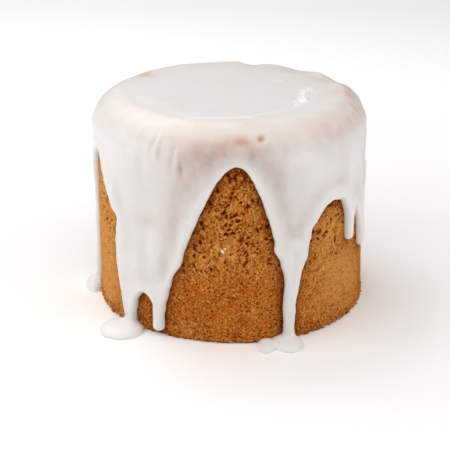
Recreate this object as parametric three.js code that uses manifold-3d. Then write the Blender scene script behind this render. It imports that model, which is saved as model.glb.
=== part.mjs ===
// A tall lemon chiffon cake under poured white icing. The icing covers the top, runs down the
// browned side in drips of different lengths, and settles in small pools where a run reaches the ground.
// Millimetres, +Z up. The origin is the middle of the flat base and the front faces -Y.
// Azimuth is counted in degrees from the front and grows towards +X.
import * as THREE from "three";
import { mergeVertices } from "three/addons/utils/BufferGeometryUtils.js";
import Module from "manifold-3d";

const wasm = await Module();
wasm.setup();

// Sponge
const BASE_RADIUS = 75;
const TOP_RADIUS = 73.5;        // the side draws in a little towards the top
const SPONGE_HEIGHT = 116;
const TOP_LEAN = -1.5;          // sideways shift of the top along X
const SHOULDER_REACH = 14.5;    // rounded upper edge, measured along the top
const SHOULDER_DROP = 14.5;     // rounded upper edge, measured down the side
const SHOULDER_SKEW = 0.2;      // the upper edge is rounder on the left than on the right
const FOOT_HEIGHT = 2;          // worn lower edge
const FOOT_INSET = 0.4;
const WAVE_PITCH = 40;          // height over which the waves below turn round the side by a radian
const WAVES = [                 // gentle unevenness of the side: number round it, height, sense of turn
  { count: 3, height: 0.45, sense: 1 },
  { count: 5, height: 0.27, sense: -1 },
];

// Icing
const GAP = 0.3;                // clearance between sponge and icing
const TOP_FILM = 2.5;           // thickness on the top
const WALL_FILM = 1.7;          // thickness on the side
const SHOULDER_THINNING = 0.5;  // the film is thinnest on the rounded edge
const ROLL_FILM = 1.5;          // extra thickness of the roll below the left upper edge
const ROLL_TILT = 80;           // lean of the surface, in degrees, where that roll is thickest
const ROLL_SPREAD = 16;
const EDGE_ROUNDING = 3.6;      // width over which the edge of a drip is rounded
const EDGE_EMBED = 1;           // the outline starts this deep in the sponge, which is then cut away
const SWELL_LENGTH = 26;        // height over which a drip grows thicker towards its tip
const RUN_FOOT = 0.8;           // a run that reaches the ground ends at this height, inside its pool
const FLANK_STEP = 0.25;        // sideways distance between the side of a drip and its flank

// Drips from the left silhouette round the front to the back: azimuth, half width, height of the
// tip, extra thickness at the tip, height of each neck, where the flank leaves the drip, bow of each
// flank, and the arch at the top of the gap that follows on the right.
const DRIPS = [
  { azimuth: -97, half: 9, tip: RUN_FOOT, swell: 2.2, necks: [26, 50], bows: [2, 2], arch: [-71.5, 90] },
  { azimuth: -47.5, half: 8.4, tip: RUN_FOOT, swell: 1.4, necks: [58, 10], bows: [1.05, 2], arch: [-38, 22] },
  { azimuth: -31.2, half: 3.8, tip: 2.5, swell: 1.6, necks: [17, 13], bows: [2, 1.5], arch: [2.5, 99] },
  { azimuth: 23.6, half: 3.5, tip: RUN_FOOT, swell: 1.2, necks: [40, 17], bows: [1.85, 3], arch: [50.3, 72.5] },
  { azimuth: 59.2, half: 3.8, tip: 45.3, swell: 1.8, necks: [60, 53], bows: [2.2, 2], arch: [63.8, 61.5] },
  { azimuth: 74, half: 4.4, tip: 35.8, swell: 1.8, necks: [46, 50], bows: [2, 2], arch: [87, 72] },
  { azimuth: 104, half: 6, tip: 24, swell: 1.6, necks: [40, 44], bows: [2, 2], arch: [117, 80] },
  { azimuth: 129, half: 7, tip: 9, swell: 1.5, necks: [24, 30], bows: [2.2, 2], arch: [143, 60] },
  { azimuth: 153, half: 4.5, tip: 41, swell: 1.8, necks: [50, 56], bows: [2, 2], arch: [165, 88] },
  { azimuth: 179, half: 5, tip: RUN_FOOT, swell: 1.4, necks: [16, 26], bows: [1.8, 2.2], arch: [195, 70] },
  { azimuth: 207, half: 4.2, tip: 31, swell: 1.8, necks: [42, 42], bows: [2, 2], arch: [219, 64] },
  { azimuth: 231, half: 6.5, tip: 15, swell: 1.5, necks: [30, 34], bows: [2, 2], arch: [246.5, 84] },
];

// Pools on the ground: azimuth and distance of the middle from the axis, half length round the cake,
// half width outwards, height, and turn about the vertical in degrees.
const POOLS = [
  { azimuth: -91.5, distance: 78.5, along: 11.5, out: 7, height: 4.6, turn: 0 },
  { azimuth: -45.3, distance: 83.5, along: 12.6, out: 12.4, height: 4.2, turn: 0 },
  { azimuth: 21.4, distance: 81.2, along: 8.6, out: 11, height: 3.8, turn: 0 },
  { azimuth: 13.2, distance: 81, along: 5.2, out: 8.2, height: 3.2, turn: -18 },
  { azimuth: 178, distance: 82.5, along: 11, out: 10.5, height: 4, turn: 0 },
];
const POOL_ROUNDING = 0.55;     // exponent of the pool profile: smaller is flatter on top
const POOL_TURNS = 40;
const POOL_RINGS = 7;

// Steps of the surfaces
const SPONGE_TURNS = 96;
const TOP_SHARES = [0.5, 1];
const SHOULDER_SHARES = [0.2, 0.4, 0.6, 0.8, 1];
const SPONGE_SHARES = [0.25, 0.5, 0.75, 1];
const CUTTER_DEPTH = 3;         // the cutter reaches this far below the ground
const WALL_LEVELS = [88, 74, 60, 46, 33, 20, 10];
const EDGE_SHARES = [1, 0.35, 0.1, 0];
const RIM_STRETCH = 3;          // most that the rim of a steep flank is stretched downwards
const FLANK_PITCH = 4.5;        // usual step along a flank in degrees
const FLANK_LEAST = 4;
const TIP_ANGLES = [-90, -60, -30, 0, 30, 60, 90];

const DEGREE = Math.PI / 180;
const ARC = BASE_RADIUS * DEGREE;   // length round the side of one degree

const MERGE_DISTANCE = 1e-4;        // points nearer than this are one point
const SPONGE_ROUGHNESS = 0.9;
const ICING_ROUGHNESS = 0.35;
const SPONGE_COLOUR = new THREE.Color().setRGB(0.68, 0.41, 0.19, THREE.SRGBColorSpace);
const ICING_COLOUR = new THREE.Color().setRGB(0.94, 0.92, 0.9, THREE.SRGBColorSpace);

// Radius of the side at a height
function wallRadius(turn, z) {
  const plain = THREE.MathUtils.lerp(BASE_RADIUS, TOP_RADIUS, z / SPONGE_HEIGHT);
  return WAVES.reduce((radius, { count, height, sense }) =>
    radius + height * Math.sin(count * turn + (sense * z) / WAVE_PITCH), plain);
}

// Lengths of the stretches of a line from the ground over the cake to its pole at an azimuth
function stretches(azimuth) {
  const turn = azimuth * DEGREE;
  const skew = 1 - SHOULDER_SKEW * Math.sin(turn);
  const reach = SHOULDER_REACH * skew;
  const drop = SHOULDER_DROP * skew;
  const side = SPONGE_HEIGHT - drop;
  const round = side + (Math.PI / 4) * (reach + drop);
  return { turn, reach, drop, side, round, pole: round + wallRadius(turn, SPONGE_HEIGHT) - reach };
}

// The place on the sponge at a length along that line
function place(azimuth, run) {
  const { turn, reach, drop, side, round, pole } = stretches(azimuth);
  if (run <= side) return { turn, run, radius: wallRadius(turn, run), z: run, tilt: Math.PI / 2 };
  if (run >= round) return { turn, run, radius: pole - run, z: SPONGE_HEIGHT, tilt: 0 };
  const bend = (Math.PI / 2) * ((round - run) / (round - side));
  const z = side + drop * Math.cos(bend);
  const radius = wallRadius(turn, z) - reach * (1 - Math.sin(bend));
  return { turn, run, radius, z, tilt: Math.atan2(Math.sin(bend) / reach, Math.cos(bend) / drop) };
}

// The point at a height above the sponge surface
function lifted({ turn, radius, z, tilt }, lift) {
  const out = radius + lift * Math.sin(tilt);
  const lean = (TOP_LEAN * z) / SPONGE_HEIGHT;
  return new THREE.Vector3(lean + out * Math.sin(turn), -out * Math.cos(turn), z + lift * Math.cos(tilt));
}

// Faces between two neighbouring rails of point numbers. The rails may differ in length: each step
// takes the shorter of the two cross links, and the last rows, which are the rims, are linked in pairs.
function zip(points, left, right, rims) {
  const faces = [];
  const ends = [left.length - rims, right.length - rims];
  let a = 0;
  let b = 0;
  while (a < left.length - 1 || b < right.length - 1) {
    const paired = a >= ends[0] && b >= ends[1];
    const leftOpen = a < (paired ? left.length - 1 : ends[0]);
    const rightOpen = b < (paired ? right.length - 1 : ends[1]);
    const leftLink = leftOpen ? points[left[a + 1]].distanceTo(points[right[b]]) : Infinity;
    const rightLink = rightOpen ? points[left[a]].distanceTo(points[right[b + 1]]) : Infinity;
    const leftNext = paired ? left.length - a >= right.length - b && leftOpen : leftLink < rightLink;
    if (leftNext) {
      faces.push(left[a + 1], right[b], left[a]);
      a += 1;
    } else {
      faces.push(left[a], right[b + 1], right[b]);
      b += 1;
    }
  }
  return faces;
}

// A closed surface from columns of points that run outwards from the pole, closed to a core point
function closedSkin(pole, columns, core, rims) {
  const points = [pole, core];
  const rails = columns.map((column) => column.map((point) => points.push(point) - 1));
  const faces = rails.flatMap((left, i) => {
    const right = rails[(i + 1) % rails.length];
    return [left[0], right[0], 0, ...zip(points, left, right, rims), right.at(-1), left.at(-1), 1];
  });
  return new THREE.BufferGeometry().setFromPoints(points).setIndex(faces);
}

function toSolid(geometry) {
  const bare = new THREE.BufferGeometry();
  bare.setAttribute("position", geometry.getAttribute("position"));
  bare.setIndex(geometry.getIndex());
  const merged = mergeVertices(bare, MERGE_DISTANCE);
  return new wasm.Manifold(new wasm.Mesh({
    numProp: 3,
    vertProperties: new Float32Array(merged.getAttribute("position").array),
    triVerts: new Uint32Array(merged.getIndex().array),
  }));
}

function toGeometry(solid) {
  const { vertProperties, triVerts } = solid.getMesh();
  const geometry = new THREE.BufferGeometry();
  geometry.setAttribute("position", new THREE.BufferAttribute(vertProperties, 3));
  geometry.setIndex(new THREE.BufferAttribute(triVerts, 1));
  geometry.computeVertexNormals();
  return geometry;
}

// Lengths along the line at an azimuth of the steps over the top and the rounded edge
function crownSteps(azimuth) {
  const { side, round, pole } = stretches(azimuth);
  const top = TOP_SHARES.map((share) => THREE.MathUtils.lerp(pole, round, share));
  const edge = SHOULDER_SHARES.map((share) => THREE.MathUtils.lerp(round, side, share));
  return [...top, ...edge];
}

// The drum of the sponge, grown by a clearance and carried below the ground by a depth
function drum(clearance, depth) {
  const columns = Array.from({ length: SPONGE_TURNS }, (_, i) => {
    const azimuth = (i * 360) / SPONGE_TURNS;
    const { side } = stretches(azimuth);
    const wall = SPONGE_SHARES.map((share) => THREE.MathUtils.lerp(side, FOOT_HEIGHT, share));
    const points = [...crownSteps(azimuth), ...wall].map((run) => lifted(place(azimuth, run), clearance));
    return [...points, lifted(place(azimuth, -depth), clearance - (depth > 0 ? 0 : FOOT_INSET))];
  });
  const pole = new THREE.Vector3(TOP_LEAN, 0, SPONGE_HEIGHT + clearance);
  return closedSkin(pole, columns, new THREE.Vector3(0, 0, -depth), 1);
}

// Lower outline of the icing as [azimuth, height], from arch to drip to arch round the cake
function lowerOutline() {
  const outline = [];
  DRIPS.forEach((drip, i) => {
    const before = DRIPS[(i + DRIPS.length - 1) % DRIPS.length].arch;
    const arches = [[i === 0 ? before[0] - 360 : before[0], before[1]], drip.arch];
    const flanks = arches.map(([azimuth, top], side) => {
      const sign = side === 0 ? -1 : 1;
      const neck = drip.azimuth + (sign * (drip.half + FLANK_STEP)) / ARC;
      const steps = Math.max(FLANK_LEAST, Math.ceil(Math.abs(azimuth - neck) / FLANK_PITCH));
      return Array.from({ length: steps }, (_, k) => {
        const share = (1 - Math.cos((Math.PI * k) / steps)) / 2;
        const rise = 1 - (1 - share) ** drip.bows[side];
        return [THREE.MathUtils.lerp(neck, azimuth, share), THREE.MathUtils.lerp(drip.necks[side], top, rise)];
      });
    });
    const tip = TIP_ANGLES.map((angle) => [
      drip.azimuth + (drip.half * Math.sin(angle * DEGREE)) / ARC,
      drip.tip + drip.half * (1 - Math.cos(angle * DEGREE)),
    ]);
    outline.push(...flanks[0].reverse(), ...tip, ...flanks[1], drip.arch);
  });
  return outline;
}

const outline = lowerOutline();
const flatOutline = outline.map(([azimuth, height]) => new THREE.Vector2(azimuth * ARC, height));
const girth = 360 * ARC;

// Distance on the unrolled surface from a place to the lower outline
function outlineDistance(azimuth, run) {
  const here = new THREE.Vector3(azimuth * ARC, run, 0);
  const nearest = new THREE.Vector3();
  let least = EDGE_ROUNDING;
  flatOutline.forEach((from, i) => {
    const last = i === flatOutline.length - 1;
    const to = last ? flatOutline[0].clone().add(new THREE.Vector2(girth, 0)) : flatOutline[i + 1];
    const segment = new THREE.Line3(new THREE.Vector3(from.x, from.y, 0), new THREE.Vector3(to.x, to.y, 0));
    [-girth, 0, girth].forEach((shift) => {
      const moved = here.clone().setX(here.x + shift);
      segment.closestPointToPoint(moved, true, nearest);
      least = Math.min(least, nearest.distanceTo(moved));
    });
  });
  return least;
}

// Full thickness of the icing at a place, away from its edges
function film(azimuth, { turn, tilt, run }) {
  const { side } = stretches(azimuth);
  const base = THREE.MathUtils.lerp(WALL_FILM, TOP_FILM, Math.cos(tilt) ** 2);
  const thin = SHOULDER_THINNING * Math.sin(2 * tilt) ** 2;
  const lean = (tilt / DEGREE - ROLL_TILT) / ROLL_SPREAD;
  const roll = ROLL_FILM * Math.max(0, -Math.sin(turn)) * Math.exp(-(lean ** 2));
  const fading = roll * Math.exp(-Math.max(0, side - run) / SWELL_LENGTH);
  const swell = DRIPS.reduce((most, drip) => {
    const offset = Math.abs(((azimuth - drip.azimuth + 540) % 360) - 180) * ARC;
    const height = Math.max(0, run - drip.tip);
    return Math.max(most, drip.swell * Math.exp(-((offset / drip.half) ** 2) - height / SWELL_LENGTH));
  }, 0);
  return base - thin + fading + swell;
}

// Outer surface of the icing, closed to the middle of the cake
function icingSkin() {
  const columns = outline.map(([azimuth, height], i) => {
    const steepness = [-1, 1].map((side) => {
      const other = outline.at((i + side) % outline.length);
      return Math.abs(other[1] - height) / Math.max(FLANK_STEP, Math.abs(other[0] - azimuth) * ARC);
    });
    const stretch = Math.min(RIM_STRETCH, Math.hypot(1, Math.max(...steepness)));
    const rim = EDGE_SHARES.map((share) => height + share * EDGE_ROUNDING * stretch);
    const upper = [...crownSteps(azimuth), ...WALL_LEVELS].filter((run) => run > rim[0] + EDGE_ROUNDING / 2);
    return [...upper, ...rim].map((run, row, runs) => {
      const spot = place(azimuth, run);
      const distance = row === runs.length - 1 ? 0 : outlineDistance(azimuth, run);
      const rounding = Math.sqrt(1 - (1 - distance / EDGE_ROUNDING) ** 2);
      return lifted(spot, (GAP + EDGE_EMBED + film(azimuth, spot)) * rounding - EDGE_EMBED);
    });
  });
  const pole = new THREE.Vector3(TOP_LEAN, 0, SPONGE_HEIGHT + GAP + TOP_FILM);
  return closedSkin(pole, columns, new THREE.Vector3(0, 0, SPONGE_HEIGHT / 2), EDGE_SHARES.length);
}

// A pool: a dome with a steep rounded rim and a flat underside
function poolSkin({ azimuth, distance, along, out, height, turn }) {
  const profile = Array.from({ length: POOL_RINGS + 1 }, (_, k) => {
    const rise = (k / POOL_RINGS) * (Math.PI / 2);
    const radius = k === POOL_RINGS ? 0 : Math.cos(rise) ** POOL_ROUNDING;
    return new THREE.Vector2(radius, Math.sin(rise) * height);
  });
  profile.unshift(new THREE.Vector2(0, 0));
  const dome = new THREE.LatheGeometry(profile, POOL_TURNS);
  dome.rotateX(Math.PI / 2).scale(along, out, 1).rotateZ(turn * DEGREE);
  return dome.translate(0, -distance, 0).rotateZ(azimuth * DEGREE);
}

function buildIcing() {
  const cutter = toSolid(drum(GAP, CUTTER_DEPTH));
  const poured = POOLS.reduce((body, pool) => body.add(toSolid(poolSkin(pool))), toSolid(icingSkin()));
  return toGeometry(poured.subtract(cutter));
}

function part(name, geometry, colour, roughness) {
  const mesh = new THREE.Mesh(geometry, new THREE.MeshStandardMaterial({ color: colour, roughness, metalness: 0 }));
  mesh.name = name;
  return mesh;
}

const cake = new THREE.Group();
cake.name = "lemon_chiffon_cake";
cake.add(part("sponge", toGeometry(toSolid(drum(0, 0))), SPONGE_COLOUR, SPONGE_ROUGHNESS));
cake.add(part("icing", buildIcing(), ICING_COLOUR, ICING_ROUGHNESS));

export default cake;
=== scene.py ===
"""A tall lemon chiffon cake: a browned, porous sponge under poured white icing with drips and pools."""
import itertools
import math

import bmesh
import bpy
import numpy as np
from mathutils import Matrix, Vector, kdtree


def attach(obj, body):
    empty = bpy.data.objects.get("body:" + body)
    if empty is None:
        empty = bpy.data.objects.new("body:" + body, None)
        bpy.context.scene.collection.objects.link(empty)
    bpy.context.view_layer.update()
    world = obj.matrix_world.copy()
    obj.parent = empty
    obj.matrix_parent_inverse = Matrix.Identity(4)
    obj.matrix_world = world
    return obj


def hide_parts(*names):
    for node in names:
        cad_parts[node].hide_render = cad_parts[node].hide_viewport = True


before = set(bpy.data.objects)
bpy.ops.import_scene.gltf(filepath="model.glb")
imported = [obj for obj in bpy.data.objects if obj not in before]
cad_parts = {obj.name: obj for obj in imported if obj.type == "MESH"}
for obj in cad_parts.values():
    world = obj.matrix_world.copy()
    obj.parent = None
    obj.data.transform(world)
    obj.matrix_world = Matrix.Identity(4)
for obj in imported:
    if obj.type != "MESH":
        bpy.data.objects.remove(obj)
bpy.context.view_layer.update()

bl_info = {
    "name": "Lemon Chiffon Cake",
    "version": (1, 0, 0),
    "blender": (4, 5, 0),
    "location": "3D View > Sidebar > Cake",
    "description": "Builds an iced lemon chiffon cake over its solid model",
    "category": "Add Mesh",
}

MM = 0.001
BODY = "root"

# Sizes from here to the settings are in millimetres, and azimuths in degrees from the front, unless a
# line says otherwise.

# Gentle unevenness of the side: number round it, height and sense of turn of each wave, and the height
# over which a wave shifts by one radian
WAVES = ((3, 0.45, 1), (5, 0.27, -1))
WAVE_PITCH = 40.0

# Tip height of the drips that run down to the ground
RUN_FOOT = 0.8
# Drips round the cake, from the left silhouette over the front to the back: azimuth, half width, tip
# height, extra thickness at the tip, heights of both necks, bows of both flanks, and azimuth and height
# of the arch that follows
DRIPS = (
    (-97.0, 9.0, RUN_FOOT, 2.2, (26.0, 50.0), (2.0, 2.0), (-71.5, 90.0)),
    (-47.5, 8.4, RUN_FOOT, 0.9, (58.0, 10.0), (1.05, 2.0), (-38.0, 22.0)),
    (-31.2, 3.8, 2.5, 1.6, (17.0, 13.0), (2.0, 1.5), (2.5, 99.0)),
    (23.6, 3.5, RUN_FOOT, 1.2, (40.0, 17.0), (1.85, 3.0), (50.3, 72.5)),
    (59.2, 3.8, 44.8, 0.9, (60.0, 53.0), (2.2, 2.0), (63.8, 61.5)),
    (74.0, 4.4, 34.4, 1.5, (46.0, 50.0), (2.0, 2.0), (87.0, 72.0)),
    (104.0, 6.0, 24.0, 1.6, (40.0, 44.0), (2.0, 2.0), (117.0, 80.0)),
    (129.0, 7.0, 9.0, 1.5, (24.0, 30.0), (2.2, 2.0), (143.0, 60.0)),
    (153.0, 4.5, 41.0, 1.8, (50.0, 56.0), (2.0, 2.0), (165.0, 88.0)),
    (179.0, 5.0, RUN_FOOT, 1.4, (16.0, 26.0), (1.8, 2.2), (195.0, 70.0)),
    (207.0, 4.2, 31.0, 1.8, (42.0, 42.0), (2.0, 2.0), (219.0, 64.0)),
    (231.0, 6.5, 15.0, 1.5, (30.0, 34.0), (2.0, 2.0), (246.5, 84.0)),
)
# Step from the round tip of a drip out to its flanks
FLANK_STEP = 0.25
# Step, lowest height and reach of the measured map of the edges, and the maps so far by base radius
EDGE_STEP = 0.6
EDGE_MAP_LOW = -6.0
EDGE_MAP_REACH = 150.0
EDGE_MAPS = {}
# Length over which the extra thickness of a drip fades upwards
SWELL_LENGTH = 26.0
# The roll of icing below the upper edge: its tilt and width in degrees, and how far down it fades
ROLL_TILT = 80.0
ROLL_WIDTH = 16.0
ROLL_LENGTH = 26.0
# Thinnest film of icing
LEAST_FILM = 0.5
# The bead along the edges: width, power of its fall and unevenness
BEAD_WIDTH = 5.2
BEAD_POWER = 2.6
BEAD_UNEVEN = 0.35
# The hollow behind the bead: depth, distance from the edge and width
HOLLOW_DEPTH = 0.25
HOLLOW_PLACE = 10.5
HOLLOW_WIDTH = 4.0
# Small waves of the lower edge: their height, and the height above the ground where they are full
EDGE_WAVE = 0.22
EDGE_CALM = 8.0

# Pools on the ground: azimuth, distance of the middle from the axis, half length round the cake,
# half width outwards, height, turn about the vertical
POOLS = (
    (-91.5, 78.5, 11.5, 7.0, 4.6, 0.0),
    (-45.3, 83.5, 12.6, 12.4, 4.2, 0.0),
    (21.4, 81.2, 8.6, 11.0, 3.8, 0.0),
    (13.2, 81.0, 5.2, 8.2, 3.2, -18.0),
    (178.0, 82.5, 11.0, 10.5, 4.0, 0.0),
)
# How flat the pools are on top, and the power that evens out their field
POOL_POWER = 3.6
POOL_EVENING = 0.4
# Depth over which a drip and its pool run into each other
POOL_BLEND = 2.2
# How square the edge of a drip is in section, 2 being an ellipse, and how far it draws back
EDGE_POWER = 2.3
EDGE_INSET = 0.5
# How much rounder the edge is at the drops that hang from the drips
DROP_ROUNDING = 2.2
# Thickness from which edges grow rounder, the depth over which they do, and by which share
FULL_START = 2.8
FULL_LENGTH = 2.0
FULL_ROUNDING = 0.5

# Unevenness of the lower edge: azimuth, height, size, and how far the icing reaches further there
EDGE_BUMPS = (
    (-54.0, 42.0, 13.0, 1.0),
    (-53.5, 62.0, 3.6, -2.0),
    (-52.5, 5.0, 6.5, -5.0),
    (-52.5, 19.0, 9.0, -2.4),
    (-51.0, 8.0, 9.0, -2.7),
    (-46.2, 2.0, 4.5, 4.5),
    (-40.0, 16.5, 4.5, -2.0),
    (-35.0, 19.0, 4.0, -1.9),
    (-24.5, 28.0, 6.0, -1.2),
    (-42.5, 8.0, 5.0, -1.5),
    (-31.0, 5.5, 3.6, 0.8),
    (-22.8, 35.5, 3.4, -1.2),
    (-20.2, 45.5, 4.0, 0.8),
    (-27.5, 20.0, 3.2, -0.7),
    (-13.0, 66.0, 3.0, 0.5),
    (2.5, 98.5, 4.0, 0.7),
    (18.0, 51.5, 3.6, 1.9),
    (21.0, 33.0, 6.5, -1.0),
    (33.0, 46.0, 4.2, 1.5),
    (35.0, 61.0, 4.0, -1.4),
    (26.0, 16.5, 2.2, 0.7),
    (27.5, 24.0, 3.0, -0.5),
    (50.5, 72.5, 3.0, 1.3),
    (111.0, 55.0, 5.0, 1.2),
    (137.0, 40.0, 5.5, -1.3),
    (172.0, 52.0, 6.0, 1.4),
    (188.0, 47.0, 4.0, -1.1),
    (224.0, 40.0, 5.0, 1.2),
    (240.0, 58.0, 5.0, -1.2),
    (-71.5, 88.0, 4.5, -5.0),
    (-79.0, 77.0, 9.0, -4.0),
)

# Wrinkles of the icing below the upper edge: azimuth, run of the middle, half width, half length, depth
WRINKLES = (
    (-68.0, 108.0, 1.4, 7.0, 0.3),
    (-64.5, 106.0, 1.3, 8.0, -0.3),
    (-59.0, 109.0, 1.5, 6.0, 0.35),
    (-55.0, 106.0, 1.4, 7.0, -0.3),
    (-49.5, 108.0, 1.3, 6.0, 0.3),
    (-45.5, 106.0, 1.3, 7.0, -0.35),
    (-40.6, 109.0, 1.5, 4.5, 0.45),
    (-38.8, 108.0, 1.3, 4.0, -0.35),
    (-37.4, 97.5, 1.8, 8.0, -0.3),
    (-29.4, 108.0, 1.3, 6.0, 1.0),
    (-31.4, 107.0, 1.2, 5.0, -0.6),
    (-22.6, 101.0, 1.2, 5.0, -0.7),
    (-20.6, 101.0, 1.3, 6.0, 1.0),
    (-18.7, 94.5, 1.2, 4.0, -0.7),
    (-20.3, 88.0, 1.8, 8.0, -0.25),
    (-30.0, 60.0, 6.5, 1.8, 0.5),
    (-30.5, 63.5, 6.5, 1.6, -0.3),
    (21.5, 104.0, 2.0, 3.5, -0.35),
    (24.5, 106.0, 2.2, 4.0, 0.4),
    (70.0, 112.0, 1.0, 8.0, 0.4),
    (74.0, 111.0, 0.9, 8.0, -0.35),
    (78.0, 110.0, 1.0, 8.0, 0.4),
    (82.0, 109.0, 0.9, 8.0, -0.35),
    (86.0, 108.0, 1.0, 8.0, 0.4),
    (118.0, 103.0, 1.6, 7.0, 0.5),
    (161.0, 106.0, 1.5, 6.0, 0.45),
    (228.0, 101.0, 1.7, 8.0, -0.45),
)

# Thick places of the icing: azimuth, run, half width, half length, extra thickness
LUMPS = (
    (-46.0, 34.0, 12.0, 22.0, 0.4),
    (-30.5, 51.0, 5.0, 8.0, 0.7),
    (-62.0, 88.0, 10.0, 12.0, 0.4),
    (-50.0, 106.0, 9.0, 6.0, 0.4),
    (26.5, 54.0, 3.2, 3.0, 1.2),
    (29.0, 48.0, 2.4, 2.6, 1.0),
    (23.5, 47.0, 2.6, 3.6, 0.9),
    (24.0, 30.0, 4.0, 14.0, 0.4),
    (38.0, 92.0, 14.0, 12.0, 0.4),
    (30.0, 101.0, 7.0, 4.0, 0.5),
    (62.0, 84.0, 8.0, 12.0, 0.3),
    (108.0, 88.0, 12.0, 14.0, 0.5),
    (150.0, 78.0, 10.0, 12.0, 0.5),
    (205.0, 92.0, 14.0, 12.0, 0.5),
    (236.0, 70.0, 10.0, 16.0, 0.4),
    (-104.0, 110.0, 34.0, 9.0, 1.3),
    (175.5, 120.0, 3.0, 4.0, 0.6),
    (127.0, 121.0, 5.0, 5.0, 0.6),
)

# Places where the icing has run off and the sponge shows through: azimuth, run, half width, half length,
# loss of thickness
THIN_PLACES = (
    (-4.0, 110.0, 24.0, 7.0, 0.35),
    (2.5, 103.0, 7.0, 4.0, 0.3),
    (-9.0, 102.0, 17.0, 9.0, 0.75),
    (-18.0, 90.0, 8.0, 13.0, 0.5),
    (-22.5, 66.0, 4.5, 16.0, 0.35),
    (-27.5, 44.0, 3.0, 11.0, 0.4),
    (-36.0, 66.0, 8.0, 4.0, 0.3),
    (-37.4, 97.0, 1.8, 9.0, 0.3),
    (-28.0, 104.0, 1.6, 3.0, 0.6),
    (-19.3, 97.0, 1.4, 2.6, 0.7),
    (14.0, 98.0, 10.0, 11.0, 0.5),
    (19.5, 80.0, 5.0, 15.0, 0.4),
    (24.0, 62.0, 5.0, 5.0, 0.35),
    (34.0, 66.0, 3.0, 4.0, 0.3),
    (48.0, 112.0, 26.0, 8.0, 0.45),
    (78.0, 96.0, 8.0, 14.0, 0.2),
    (13.3, 112.0, 2.1, 1.5, 1.7),
    (5.6, 111.0, 3.6, 3.0, 0.75),
    (8.8, 104.0, 2.2, 4.0, 0.5),
    (-126.0, 124.0, 7.0, 4.0, 0.9),
    (74.0, 114.0, 6.0, 4.0, 0.5),
    (150.0, 108.0, 16.0, 8.0, 0.5),
    (215.0, 112.0, 14.0, 6.0, 0.5),
    (133.0, 121.0, 42.0, 9.0, 0.2),
)

# Places where crumb stains the icing from below: azimuth, run, half width, half length, share
STAINS = (
    (-100.0, 116.0, 28.0, 9.0, 0.2),
    (-121.0, 127.0, 8.0, 4.0, 0.4),
    (132.0, 134.0, 44.0, 12.0, 0.12),
    (88.0, 122.0, 14.0, 12.0, 0.12),
    (114.0, 120.0, 12.0, 9.0, -0.2),
)

# Thickness below which the sponge starts to show, the depth over which it does, and the least share
CLEAR_DEPTH = 2.5
CLEAR_LENGTH = 2.2
LEAST_THIN = 0.03
# Tilt in degrees round which the icing beyond the level pool is tinted warm, partly as thin icing over the
# crust and partly as painted shade on the upper rounded edge, the width of that band, and how much the
# clouds on the top show
SHOULDER_SHADE_TILT = 14.0
SHOULDER_SHADE_WIDTH = 17.0
CLOUD_SHARE = 0.05
# Height above the sponge at which icing turns pure white, partly as thick icing and partly as painted
# light on the pools and thick drips, and the depth over which it does
WHITE_DEPTH = 3.0
WHITE_LENGTH = 2.0
# Run below which icing turns grey-brown, partly as glassy thin icing and partly as painted shade on the
# side, the length over which it does, and the greatest share
GLASSY_SHADE_START = 112.0
GLASSY_SHADE_LENGTH = 10.0
GLASSY_SHADE_MOST = 0.85
# Place on the side that keeps the warm tint and less of the grey-brown painted shade: azimuth, run, half
# width and half length, and how far it does
WARM_PLACE = (-26.0, 102.0, 16.0, 10.0)
WARM_SHARE = 0.6

# Dips of the upper edge of the icing at the back and the right: azimuth, run, half width,
# half length, depth
RIM_DIPS = (
    (133.0, 121.0, 42.0, 9.0, 0.8),
    (141.0, 121.0, 9.0, 8.0, 1.1),
    (114.0, 120.0, 11.0, 9.0, 1.6),
    (167.0, 120.0, 8.0, 8.0, 1.7),
    (190.0, 120.0, 16.0, 7.0, 0.5),
    (90.0, 111.0, 13.0, 7.0, 1.1),
)

# Rim of the level pool on the top: azimuth and distance from the axis
POOL_RIM = (
    (-160.0, 52.0), (-122.0, 55.0), (-88.0, 59.0), (-57.0, 58.5), (-37.0, 58.5), (-20.0, 57.0),
    (-6.0, 54.5), (9.0, 54.0), (22.0, 50.6), (38.0, 47.8), (54.0, 44.0), (70.0, 41.0),
    (92.0, 40.0), (112.0, 33.0), (134.0, 31.5), (165.0, 44.0),
)
# Azimuths between which that rim stands up as a sharp ridge, and how fast it fades in and out
RIDGE_START = -32.0
RIDGE_END = 104.0
RIDGE_FADE_IN = 14.0
RIDGE_FADE_OUT = 20.0
# Rise of the level pool, and height of the lip on its rim
POOL_RISE = 0.35
LIP_HEIGHT = 0.7
# Middle of the stretch where the top rounds off most softly, its width in degrees and its depth
SOFT_AZIMUTH = -70.0
SOFT_WIDTH = 50.0
SOFT_DEPTH = 0.8
# The dried crust on the ridge: azimuth of its middle, half length in degrees, half width and height
CRUST_AZIMUTH = 68.0
CRUST_LENGTH = 19.0
CRUST_WIDTH = 2.3
CRUST_HEIGHT = 1.7
# The thin fan of sugar beyond it: turn from the crust, half length, distance, half width, share
FAN_TURN = 17.0
FAN_LENGTH = 10.0
FAN_PLACE = 5.0
FAN_WIDTH = 3.5
FAN_SHARE = 0.45
# Heights of the flow on the side, from slow to fine, and of the ripples on the top
FLOW_HEIGHT = 0.24
STREAK_HEIGHT = 0.18
DIMPLE_HEIGHT = 0.1
RIPPLE_HEIGHT = 0.16
# Box in which the icing is worked out, and the value of its field away from the icing
FIELD_LOW = (-90.0, -92.0)
FIELD_HIGH = (82.0, 97.0, 124.0)
FIELD_FAR = 4.0
# Band round the side that is worked out: how far in and out, and the greatest height above the sponge
BAND_IN = 4.0
BAND_OUT = 8.0
BAND_LIFT = 9.0
# Depth below the top, as a share of the rounded edge, from which the whole cake is worked out
BAND_TOP = 1.3
# Height that no pool reaches, height up to which pools and drips are joined, and distance from the side
# beyond which only pools lie
POOL_LIMIT = 9.0
JOIN_LIMIT = 12.0
POOL_START = 6.0

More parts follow.
